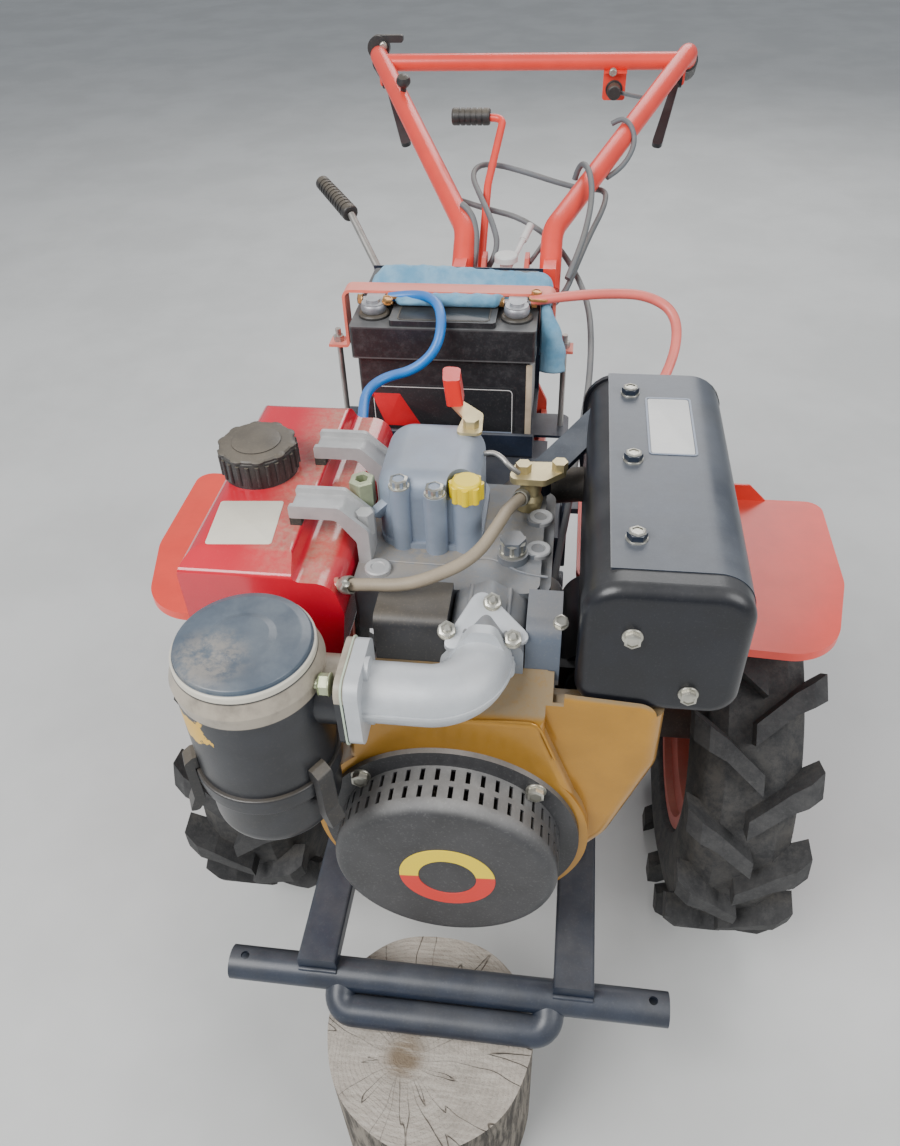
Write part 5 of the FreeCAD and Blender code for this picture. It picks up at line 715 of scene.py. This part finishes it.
def plate(name, finish_name, size, place, way=UP, turn=0.0):
    """A thin plate: its width, depth, height and corner."""
    settled(stood(slab(*size), place, way, turn), name, finish_name)


def frame_line(name, finish_name, size, place, way=UP):
    """A thin frame: its width, depth, line, height and corner."""
    settled(stood(framed(*size), place, way), name, finish_name)


def on_posts(name, finish_name, make, height, turn=0.0):
    """The same round piece on both battery posts."""
    pair = [stood(make(), (x, POST_Y, height), UP, turn) for x in POST_X]
    settled(merged(pair), name, finish_name)


def wire(name, finish_name, radius, points, replaced=None):
    """A round wire, pipe or bead along a smooth line, in place of a CAD node if one is named."""
    curve = bpy.data.curves.new(name, "CURVE")
    curve.dimensions = "3D"
    curve.resolution_u = 10
    curve.bevel_depth = radius
    curve.bevel_resolution = 4
    curve.use_fill_caps = True
    spline = curve.splines.new("NURBS")
    spline.points.add(len(points) - 1)
    for spot, point in zip(spline.points, points):
        spot.co = (*point, 1.0)
    spline.order_u = 3
    spline.use_endpoint_u = True
    line = bpy.data.objects.new(name, curve)
    bpy.context.collection.objects.link(line)
    curve.materials.append(finishes[finish_name])
    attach(line, "chassis")
    if replaced:
        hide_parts(replaced)


# Hoses and cables, which the machine holds at both ends
wire("fuel_line", "tan_hose", 0.006, [
    (-0.118, -0.5305, 0.752), (-0.09, -0.541, 0.765), (-0.054, -0.5465, 0.771), (-0.028, -0.5415, 0.777),
    (0.01, -0.5195, 0.785), (0.028, -0.4695, 0.788), (0.034, -0.4305, 0.778), (0.046, -0.3915, 0.762),
], "fuel_hose")
wire("blue_lead", "blue_cable", 0.0065, [
    (-0.157, -0.0115, 0.797), (-0.122, -0.0135, 0.804), (-0.09, -0.0375, 0.807), (-0.077, -0.0795, 0.799),
    (-0.082, -0.1055, 0.772), (-0.11, -0.1155, 0.748), (-0.148, -0.1275, 0.743), (-0.166, -0.1555, 0.738),
    (-0.162, -0.1955, 0.732), (-0.154, -0.2455, 0.726),
], "earth_cable")
wire("salmon_lead", "salmon_cable", 0.0065, [
    (0.03, -0.0115, 0.797), (0.072, -0.0115, 0.804), (0.126, -0.0035, 0.806), (0.178, 0.0045, 0.802),
    (0.216, -0.0115, 0.786), (0.218, -0.0555, 0.754), (0.192, -0.1035, 0.712), (0.164, -0.1695, 0.668),
    (0.158, -0.2495, 0.654), (0.138, -0.3515, 0.642),
], "starter_cable")
wire("throttle_cable", "grey_cable", 0.0043, [
    (-0.045, 0.172, 0.762), (-0.028, 0.186, 0.786), (-0.042, 0.226, 0.812), (-0.066, 0.282, 0.832),
    (-0.084, 0.33, 0.846), (-0.076, 0.364, 0.852), (-0.046, 0.378, 0.848), (0.004, 0.374, 0.836),
    (0.05, 0.368, 0.824), (0.092, 0.362, 0.816), (0.126, 0.344, 0.822), (0.124, 0.3, 0.812),
    (0.102, 0.236, 0.788), (0.084, 0.176, 0.762), (0.07, 0.138, 0.738), (0.053, 0.1245, 0.728),
], "control_cables")
wire("speed_cable", "grey_cable", 0.0043, [
    (-0.112, 0.306, 0.82), (-0.062, 0.3, 0.806), (-0.005, 0.288, 0.798), (0.05, 0.252, 0.776),
    (0.086, 0.196, 0.75), (0.106, 0.118, 0.736), (0.112, 0.04, 0.726), (0.112, -0.04, 0.704),
    (0.106, -0.11, 0.684), (0.098, -0.178, 0.66), (0.092, -0.24, 0.63), (0.084, -0.292, 0.604),
    (0.08, -0.3345, 0.592),
], "control_cables")
wire("switch_wire", "grey_cable", 0.0035, [
    (0.138, 0.668, 0.886), (0.166, 0.648, 0.884), (0.196, 0.6, 0.89), (0.162, 0.52, 0.868),
    (0.126, 0.434, 0.844), (0.084, 0.356, 0.832), (0.058, 0.286, 0.808), (0.038, 0.226, 0.784),
    (0.017, 0.184, 0.768),
], "control_cables")


# Folded cloth under the hold-down bar, with a flap over the battery's end
def ease(value, low, high):
    share = min(1.0, max(0.0, (value - low) / (high - low)))
    return share * share * (3.0 - 2.0 * share)


def cloth_section(along, hang):
    """The folded cloth's section: places behind the bar and heights above the lid, from edge to edge."""
    front = ease(along, -0.158, -0.14) * (1.0 - ease(along, -0.016, -0.004)) * (1.0 - hang)
    low_end = 1.0 - 0.55 * ease(along, -0.085, -0.125)
    puff = 1.0 - 0.42 * ease(along, -0.12, 0.04)
    rounded_end = ease(along, -0.192, -0.168)
    lip = -0.002 - 0.027 * front
    lying = [
        (lip + 0.01, 0.0006),
        (0.02, 0.0006),
        (0.046, 0.001),
        (0.059, 0.005 + 0.006 * puff * rounded_end),
        (0.053, 0.008 + 0.015 * puff * rounded_end),
        (0.038, 0.008 + 0.0185 * puff * rounded_end),
        (0.0252, 0.0078 + 0.002 * rounded_end),
        (0.012, 0.0061),
        (0.004 - 0.0095 * front, 0.0061),
        (lip + 0.003 + 0.006 * front, 0.0058 + 0.0115 * front * low_end),
        (lip, 0.004 + 0.0075 * front * low_end),
        (lip + 0.003 + 0.001 * front, 0.0018),
        (lip + 0.008 + 0.006 * front, 0.002),
    ]
    hanging = [
        (0.02, 0.0006), (0.036, 0.0006), (0.048, 0.0014), (0.052, 0.005), (0.048, 0.0096),
        (0.036, 0.0104), (0.0245, 0.0104), (0.008, 0.011), (-0.007, 0.015), (-0.015, 0.0255),
        (-0.024, 0.0275), (-0.031, 0.0165), (-0.026, 0.003),
    ]
    return [(a[0] + (b[0] - a[0]) * hang, a[1] + (b[1] - a[1]) * hang) for a, b in zip(lying, hanging)]


def smooth_row(points, steps):
    """Points along a smooth line through the given ones."""
    row = []
    last = len(points) - 1
    for step in range(steps + 1):
        place = step * last / steps
        index = min(int(place), last - 1)
        share = place - index
        near = (points[max(index - 1, 0)], points[index], points[index + 1], points[min(index + 2, last)])
        spot = []
        for a, b, c, d in zip(*near):
            square = (2 * a - 5 * b + 4 * c - d) * share**2
            cube = (3 * b - a - 3 * c + d) * share**3
            spot.append(0.5 * (2 * b + (c - a) * share + square + cube))
        row.append(tuple(spot))
    return row


def cloth_rows():
    """Each row across the cloth: place along it, share of hanging, its spot over the lid and its way up."""
    lid = LID_Z + 0.0011
    right_end = -0.188
    left_end = 0.035
    bend = 0.0065
    flap_x = 0.0415
    drop = 0.08
    lying_steps, bend_steps, hanging_steps = 74, 8, 30
    rows = []
    for step in range(lying_steps + 1):
        x = right_end + (left_end - right_end) * step / lying_steps
        rows.append((x, 0.0, (x, lid), (0.0, 1.0)))
    for step in range(1, bend_steps + 1):
        angle = math.pi / 2 * step / bend_steps
        spot = (left_end + bend * math.sin(angle), lid - bend + bend * math.cos(angle))
        rows.append((left_end, ease(step, 2, 10) * 0.6, spot, (math.sin(angle), math.cos(angle))))
    for step in range(1, hanging_steps + 1):
        fall = drop * step / hanging_steps
        hang = 0.55 + 0.45 * ease(fall, 0.0, 0.03)
        rows.append((left_end, hang, (flap_x, lid - bend - fall), (1.0, 0.0)))
    return rows, lid - bend


def make_cloth():
    rows, flap_top = cloth_rows()
    across = 60
    corners = []
    for along, hang, spot, up in rows:
        hangs = hang > 0.5
        fall = max(0.0, flap_top - spot[1]) if hangs else 0.0
        swell = 1.0 + 0.3 * ease(fall, 0.01, 0.065) if hangs else 1.0
        for step, (y, height) in enumerate(smooth_row(cloth_section(along, hang), across)):
            ripple = 0.0007 * math.sin(along * 210.0 + step * 0.35)
            ripple += 0.0004 * math.sin(along * 470.0 - step * 0.8)
            if hangs:
                ripple = 0.0009 * math.sin(fall * 190.0 + step * 0.22)
                y += 0.0015 * math.sin(fall * 60.0)
            free = ease(height, 0.007, 0.011)
            rise = height * (swell if height > 0.011 else 1.0) + ripple * free
            corners.append((spot[0] + up[0] * rise, y, spot[1] + up[1] * rise))
    faces = []
    width = across + 1
    for row in range(len(rows) - 1):
        for step in range(across):
            first = row * width + step
            faces.append((first, first + 1, first + width + 1, first + width))
    mesh = bpy.data.meshes.new("cloth")
    mesh.from_pydata(corners, [], faces)
    cloth = bpy.data.objects.new("cloth", mesh)
    bpy.context.collection.objects.link(cloth)
    lone(cloth)
    wall = cloth.modifiers.new("wall", "SOLIDIFY")
    wall.thickness = 0.0009
    wall.offset = 0.0
    bpy.ops.object.modifier_apply(modifier="wall")
    cloth.data.materials.append(finishes["washed_cloth"])
    for face in cloth.data.polygons:
        face.use_smooth = True
    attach(cloth, "chassis")
    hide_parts("folded_cloth")
    bpy.ops.object.select_all(action="DESELECT")


make_cloth()

# Battery: glossy lid panel, post rings, brass nuts and the blank label with its patches
plate("lid_panel", "label_black", (0.116, 0.052, 0.0009, 0.006), (-0.08, -0.0345, LID_Z))
frame_line("lid_panel_edge", "black_plastic", (0.12, 0.056, 0.0016, 0.0007, 0.008), (-0.08, -0.0345, LID_Z))
POST_RING = [
    (0.0205, 0.0), (0.0205, 0.003), (0.019, 0.0046), (0.0125, 0.0052), (0.011, 0.0036), (0.011, 0.0),
]
POST_TOP = [(0.0095, 0.0), (0.0092, 0.003), (0.0078, 0.0042), (0.003, 0.0046)]
CLAMP_WRAP = [
    (0.0153, 0.0), (0.0162, 0.0012), (0.0168, 0.005), (0.0162, 0.009),
    (0.015, 0.0104), (0.01, 0.0108), (0.0098, 0.0),
]
on_posts("post_rings", "black_plastic", lambda: ring(POST_RING, 40), 0.782)
on_posts("post_tops", "lead_grey", lambda: turned(POST_TOP, 24), 0.799)
on_posts("clamp_wraps", "lead_grey", lambda: ring(CLAMP_WRAP, 30), 0.7885, 0.4)
spread("clamp_nuts", "brass_yellow", bolt_pattern(0.0115, 0.0055, 0.007, 0.0012), [
    ((-0.157, -0.0115, 0.794), LEFTWARD),
    ((-0.193, -0.0115, 0.794), RIGHTWARD),
    ((-0.005, -0.0115, 0.794), RIGHTWARD),
    ((0.031, -0.0115, 0.794), LEFTWARD),
    ((-0.157, -0.03, 0.799), (0.3, -0.2, 1.0)),
    ((0.036, -0.0045, 0.801), (0.1, 0.0, 1.0)),
])
cable_lugs = [
    stood(slab(0.026, 0.015, 0.003, 0.006), place, UP, turn)
    for place, turn in (((-0.148, -0.012, 0.7985), 0.1), ((0.04, -0.0118, 0.799), -0.1))
]
settled(merged(cable_lugs), "cable_lugs", "brass_yellow")
plate("battery_label", "label_black", (0.196, 0.1, 0.0006, 0.005), (-0.084, -0.0635, 0.648), FORWARD)
frame_line(
    "label_line", "label_white", (0.19, 0.094, 0.0009, 0.0004, 0.006), (-0.084, LABEL_Y, 0.648), FORWARD
)
red_patch = slab(0.04, 0.05, 0.0004, 0.002)
bpy.ops.object.mode_set(mode="EDIT")
pick(red_patch, "VERT", lambda corner: corner.co.y < 0.0)
bpy.ops.transform.translate(value=(0.016, 0.0, 0.0))
pick(red_patch, "VERT", lambda corner: corner.co.y < 0.0 and corner.co.x > 0.016)
bpy.ops.transform.translate(value=(0.01, 0.0, 0.0))
close_edit()
settled(stood(red_patch, (-0.161, LABEL_Y, 0.659), FORWARD), "red_patch", "label_red")
plate("grey_patch", "label_grey", (0.049, 0.031, 0.0004, 0.001), (-0.0135, LABEL_Y, 0.6145), FORWARD)
plate("case_strap", "clear_strap", (0.008, 0.138, 0.0014, 0.002), (0.0325, -0.0636, 0.664), FORWARD)

# Fuel tank and cap: blank label, hose clips and scalloped cap rim
plate("tank_label", "cream_paint", (0.062, 0.066, 0.0006, 0.003), (-0.212, -0.485, 0.784), UP, 0.082)
clip_band = ring([
    (0.0068, -0.0045), (0.0082, -0.0045), (0.0086, -0.003),
    (0.0086, 0.003), (0.0082, 0.0045), (0.0068, 0.0045),
], 32)
stood(clip_band, (-0.1045, -0.5365, 0.7588), (0.028, -0.0105, 0.013))
clip_screw = turned([(0.0035, 0.0), (0.0038, 0.006), (0.002, 0.007)], 12)
stood(clip_screw, (-0.106, -0.545, 0.764), (0.5, -0.2, 1.0))
settled(merged([clip_band, clip_screw]), "hose_clip", "bright_zinc")
end_band = ring([(0.0068, -0.0045), (0.0082, -0.0045), (0.0086, 0.0), (0.0082, 0.0045), (0.0068, 0.0045)], 32)
settled(stood(end_band, (0.0435, -0.3995, 0.7655), (0.012, 0.039, -0.016)), "hose_end_clip", "bright_zinc")
LOBE_COUNT = 10
LOBE_REACH = 0.0315
cap_parts = [turned([(0.0374, 0.0), (0.0374, 0.002), (0.036, 0.0034), (0.03, 0.004)], 48)]
for index in range(LOBE_COUNT):
    angle = 2 * math.pi * index / LOBE_COUNT
    lobe = turned([(0.0085, 0.0), (0.0085, 0.0022), (0.007, 0.0034), (0.002, 0.0038)], 20)
    cap_parts.append(stood(lobe, (LOBE_REACH * math.cos(angle), LOBE_REACH * math.sin(angle), 0.0)))
settled(stood(merged(cap_parts), (*TANK_CAP, 0.813)), "fuel_cap_rim", "black_plastic")
cap_disc = turned([(0.0245, 0.0), (0.0245, 0.0012), (0.0225, 0.0019), (0.006, 0.0022)], 40)
settled(stood(cap_disc, (*TANK_CAP, 0.8166)), "fuel_cap_disc", "black_plastic")

# Muffler guard and muffler: flanged bolts and the blank framed label
spread("guard_bolts", "bright_zinc", bolt_pattern(0.0125, 0.0068, 0.0098, 0.0015), [
    ((0.148, y, GUARD_TOP), UP) for y in (-0.5215, -0.4025, -0.2795)
])
spread("muffler_front_bolts", "bright_zinc", bolt_pattern(0.012, 0.0062, 0.009, 0.0014), [
    ((x, MUFFLER_FRONT_Y, z), FORWARD) for x, z in ((0.148, 0.767), (0.202, 0.702))
])
frame_line("guard_label_line", "label_grey", (0.046, 0.106, 0.002, 0.0006, 0.004), (0.186, -0.34, 0.8192))
plate("guard_label", "label_white", (0.041, 0.101, 0.0004, 0.003), (0.186, -0.34, 0.8191))

# Head, rocker cover and intake: bolts, bosses, port collar, gasket, return pipe and rib
spread("head_nut", "bright_zinc", bolt_pattern(0.0208, 0.012, 0.0132, 0.003), [
    ((0.04, -0.4655, 0.75), UP),
])
spread("rocker_bolts", "bright_zinc", bolt_pattern(0.015, 0.007, 0.0101, 0.0016), [
    ((-0.034, -0.4575, 0.808), UP), ((-0.068, -0.4535, 0.812), UP),
])
BOSS = [(0.0125, 0.0), (0.0125, 0.004), (0.0112, 0.0052), (0.007, 0.0052), (0.0062, 0.004)]
BOSS_SPOTS = ((0.064, -0.4035), (0.064, -0.4545), (-0.086, -0.4945))
bosses = [stood(turned(BOSS, 32), (x, y, HEAD_TOP)) for x, y in BOSS_SPOTS]
settled(merged(bosses), "head_bosses", "cast_alloy")
COLLAR_WAY = (0.101, -0.459, 0.883)
port_collar = round_start(3, 1.0, 0.0, "NGON")
bpy.ops.transform.resize(value=(0.05, 0.038, 1.0), center_override=(0.0, 0.0, 0.0))
bpy.ops.mesh.bevel(offset=0.015, segments=6, affect="VERTICES")
bpy.ops.mesh.select_all(action="SELECT")
extruded(0.009)
bpy.ops.mesh.bevel(offset=0.0014, segments=3, affect="EDGES")
close_edit()
settled(stood(port_collar, (0.0226, -0.5655, 0.744), COLLAR_WAY), "port_collar", "elbow_alloy")
spread("port_studs", "bright_zinc", stud_pattern(0.012, 0.0064, 0.0084, 0.0016, 0.0032), [
    ((0.028, -0.55, 0.76), COLLAR_WAY),
    ((-0.009, -0.578, 0.7495), COLLAR_WAY),
    ((0.048, -0.577, 0.7435), COLLAR_WAY),
])
spread("cleaner_flange_nuts", "green_zinc", stud_pattern(0.016, 0.0085, 0.01, 0.0012, 0.0045), [
    ((-0.094, -0.654, 0.756), RIGHTWARD), ((-0.094, -0.606, 0.7), RIGHTWARD),
])
plate("elbow_gasket", "pale_green", (0.07, 0.078, 0.0016, 0.013), (-0.083, -0.632, 0.726), RIGHTWARD)
wire("head_step", "head_alloy", 0.0014, [
    (-0.078, -0.4805, HEAD_TOP), (-0.046, -0.4815, HEAD_LINE), (-0.017, -0.4815, HEAD_LINE),
    (-0.002, -0.4725, HEAD_LINE), (0.019, -0.4665, HEAD_LINE), (0.036, -0.4775, HEAD_LINE),
    (0.051, -0.4875, HEAD_LINE), (0.075, -0.4905, HEAD_TOP),
])
wire("injector_return", "plain_steel", 0.0026, [
    (0.0, -0.3785, 0.8), (0.011, -0.3795, 0.806), (0.023, -0.3885, 0.806), (0.031, -0.3965, 0.8),
    (0.04, -0.392, 0.79),
])
standoff = ring(
    [(0.0128, 0.0), (0.0128, 0.027), (0.0118, 0.0284), (0.0066, 0.0284), (0.0058, 0.018), (0.0058, 0.0)], 6
)
settled(stood(standoff, (-0.107, -0.4385, 0.7795)), "standoff_nut", "green_zinc", angle=20.0)
plate(
    "rocker_rib", "rocker_grey", (0.009, 0.03, 0.012, 0.003, 0.001),
    (-0.083, -0.442, 0.778), (-0.45, -0.6, 0.66), -0.5,
)

# Fan cover and shroud: flanged bolts, blank ring and the panel bead
spread("fan_cover_bolts", "bright_zinc", bolt_pattern(0.014, 0.007, 0.01, 0.0016), [
    ((CRANK_X + FLANGE_REACH * math.cos(angle), FLANGE_Y, CRANK_Z + FLANGE_REACH * math.sin(angle)), FORWARD)
    for angle in (math.radians(degrees) for degrees in (45, 135, 225, 315))
])
blank_ring = ring([
    (0.029, 0.0), (0.029, 0.0005), (0.0292, 0.0007), (0.0478, 0.0007), (0.048, 0.0005), (0.048, 0.0),
], 72)
settled(stood(blank_ring, (RING_X, FAN_FACE_Y, RING_Z), FORWARD), "blank_ring", "ring_print")
wire("shroud_bead", "shroud_gold", 0.0014, [
    (x, SHROUD_Y, z) for x, z in ((0.01, 0.664), (0.058, 0.668), (0.074, 0.666), (0.082, 0.644), (0.091, 0.617))
])

# Handlebar: cable wrap, loop and sleeve, throttle knob and small screws
wire("tube_wrap", "grey_cable", 0.0042, [
    (0.13, 0.468, 0.885), (0.142, 0.466, 0.8925), (0.152, 0.46, 0.8925), (0.162, 0.447, 0.885),
    (0.168, 0.44, 0.867), (0.161, 0.418, 0.85), (0.144, 0.386, 0.838), (0.126, 0.37, 0.832),
])
wire("tube_loop", "grey_cable", 0.0045, [
    (0.076, 0.348, 0.836), (0.082, 0.344, 0.862), (0.096, 0.318, 0.864), (0.104, 0.275, 0.84),
    (0.099, 0.225, 0.812), (0.088, 0.18, 0.786), (0.074, 0.148, 0.76),
])
wire("lever_sleeve", "grey_cable", 0.005, [
    (-0.09, 0.248, 0.83), (-0.076, 0.238, 0.824), (-0.066, 0.218, 0.804), (-0.064, 0.196, 0.784),
    (-0.066, 0.176, 0.76),
])
lever_knob = turned([
    (0.005, -0.017), (0.0055, -0.009), (0.0095, -0.006), (0.0122, -0.001),
    (0.0122, 0.003), (0.0098, 0.0085), (0.004, 0.0118),
], 32)
settled(stood(lever_knob, (-0.2235, 0.5515, 0.929), (0.1, -0.3, 0.95)), "lever_knob", "black_plastic")
spread("small_screws", "bright_zinc", bolt_pattern(0.01, 0.005, 0.007, 0.001), [
    ((-0.2849, 0.708, 0.9533), FORWARD),
    ((0.1306, 0.656, 0.9197), FORWARD),
    ((0.089, -0.56, 0.7505), (0.0, -0.3, 0.95)),
])

# Front frame's weld beads and the muffler's rear rim
for side, x in (("right", -0.163), ("left", 0.129)):
    wire("rail_weld_" + side, "frame_paint", 0.0026, [
        (x - 0.022, -0.6718, 0.2795), (x - 0.008, -0.6726, 0.2806), (x + 0.006, -0.6718, 0.2798),
        (x + 0.022, WELD_Y, 0.2802),
    ])
frame_line(
    "muffler_rear_rim", "muffler_black", (0.147, 0.1465, 0.005, 0.0065, 0.037),
    (0.175, -0.2365, 0.745), FORWARD,
)

# Gearbox: side bolts and the drain plug
BOLT_SPOTS = (
    (-0.112, 0.212), (-0.112, 0.39), (-0.112, 0.48),
    (-0.112, 0.555), (-0.185, 0.208), (-0.26, 0.208),
)
spread("gearbox_bolts", "plain_steel", bolt_pattern(0.013, 0.006, 0.0095, 0.0014), [
    ((x, y, z), way) for x, way in ((-0.085, RIGHTWARD), (0.085, LEFTWARD)) for y, z in BOLT_SPOTS
])
spread("gearbox_plugs", "plain_steel", bolt_pattern(0.022, 0.009, 0.017, 0.0024), [
    ((0.0, -0.0995, 0.218), BACKWARD),
])


# Floor, lights and the camera at the photograph's angle
def lay_floor():
    bpy.ops.mesh.primitive_plane_add(size=44.0, location=(0.0, 0.0, 0.0))
    floor = bpy.context.object
    floor.name = "floor"
    tree, shader = open_finish("pale_floor")
    clouds = between(tree, speckle(tree, 0.4, 4.0), 0.35, 0.65)
    tree.links.new(mixed(tree, clouds, (0.6, 0.6, 0.58), (0.66, 0.66, 0.64)), shader.inputs["Base Color"])
    shader.inputs["Roughness"].default_value = 0.9
    floor.data.materials.append(finishes["pale_floor"])
    bpy.ops.object.select_all(action="DESELECT")


def hang_light(name, place, target, size, power):
    lamp = bpy.data.lights.new(name, "AREA")
    lamp.shape = "DISK"
    lamp.size = size
    lamp.energy = power
    holder = bpy.data.objects.new(name, lamp)
    holder.location = place
    way = Vector(target) - Vector(place)
    holder.rotation_euler = way.to_track_quat("-Z", "Y").to_euler()
    bpy.context.collection.objects.link(holder)


lay_floor()
hang_light("sky_key", (-1.9, -2.4, 3.3), (0.0, -0.3, 0.4), 2.6, 185.0)
hang_light("sky_fill", (2.6, -1.6, 2.6), (0.0, -0.2, 0.5), 2.4, 70.0)
hang_light("sky_back", (0.4, 2.9, 2.8), (0.0, 0.0, 0.5), 2.4, 60.0)

world = bpy.data.worlds.new("soft_sky")
world.use_nodes = True
sky = world.node_tree.nodes["Background"].inputs
sky["Color"].default_value = (0.8, 0.86, 0.95, 1.0)
sky["Strength"].default_value = 0.42
bpy.context.scene.world = world

camera_data = bpy.data.cameras.new("camera")
camera_data.sensor_fit = "HORIZONTAL"
camera_data.sensor_width = 36.0
camera_data.lens = 36.0
camera_data.clip_start = 0.05
camera = bpy.data.objects.new("camera", camera_data)
camera.matrix_world = Matrix(
    (
        (0.99158, -0.05881, 0.11537, 0.081),
        (0.12559, 0.65387, -0.74611, -1.1275),
        (-0.03156, 0.75432, 0.65575, 1.3),
        (0.0, 0.0, 0.0, 1.0),
    )
)
bpy.context.collection.objects.link(camera)
bpy.context.scene.camera = camera
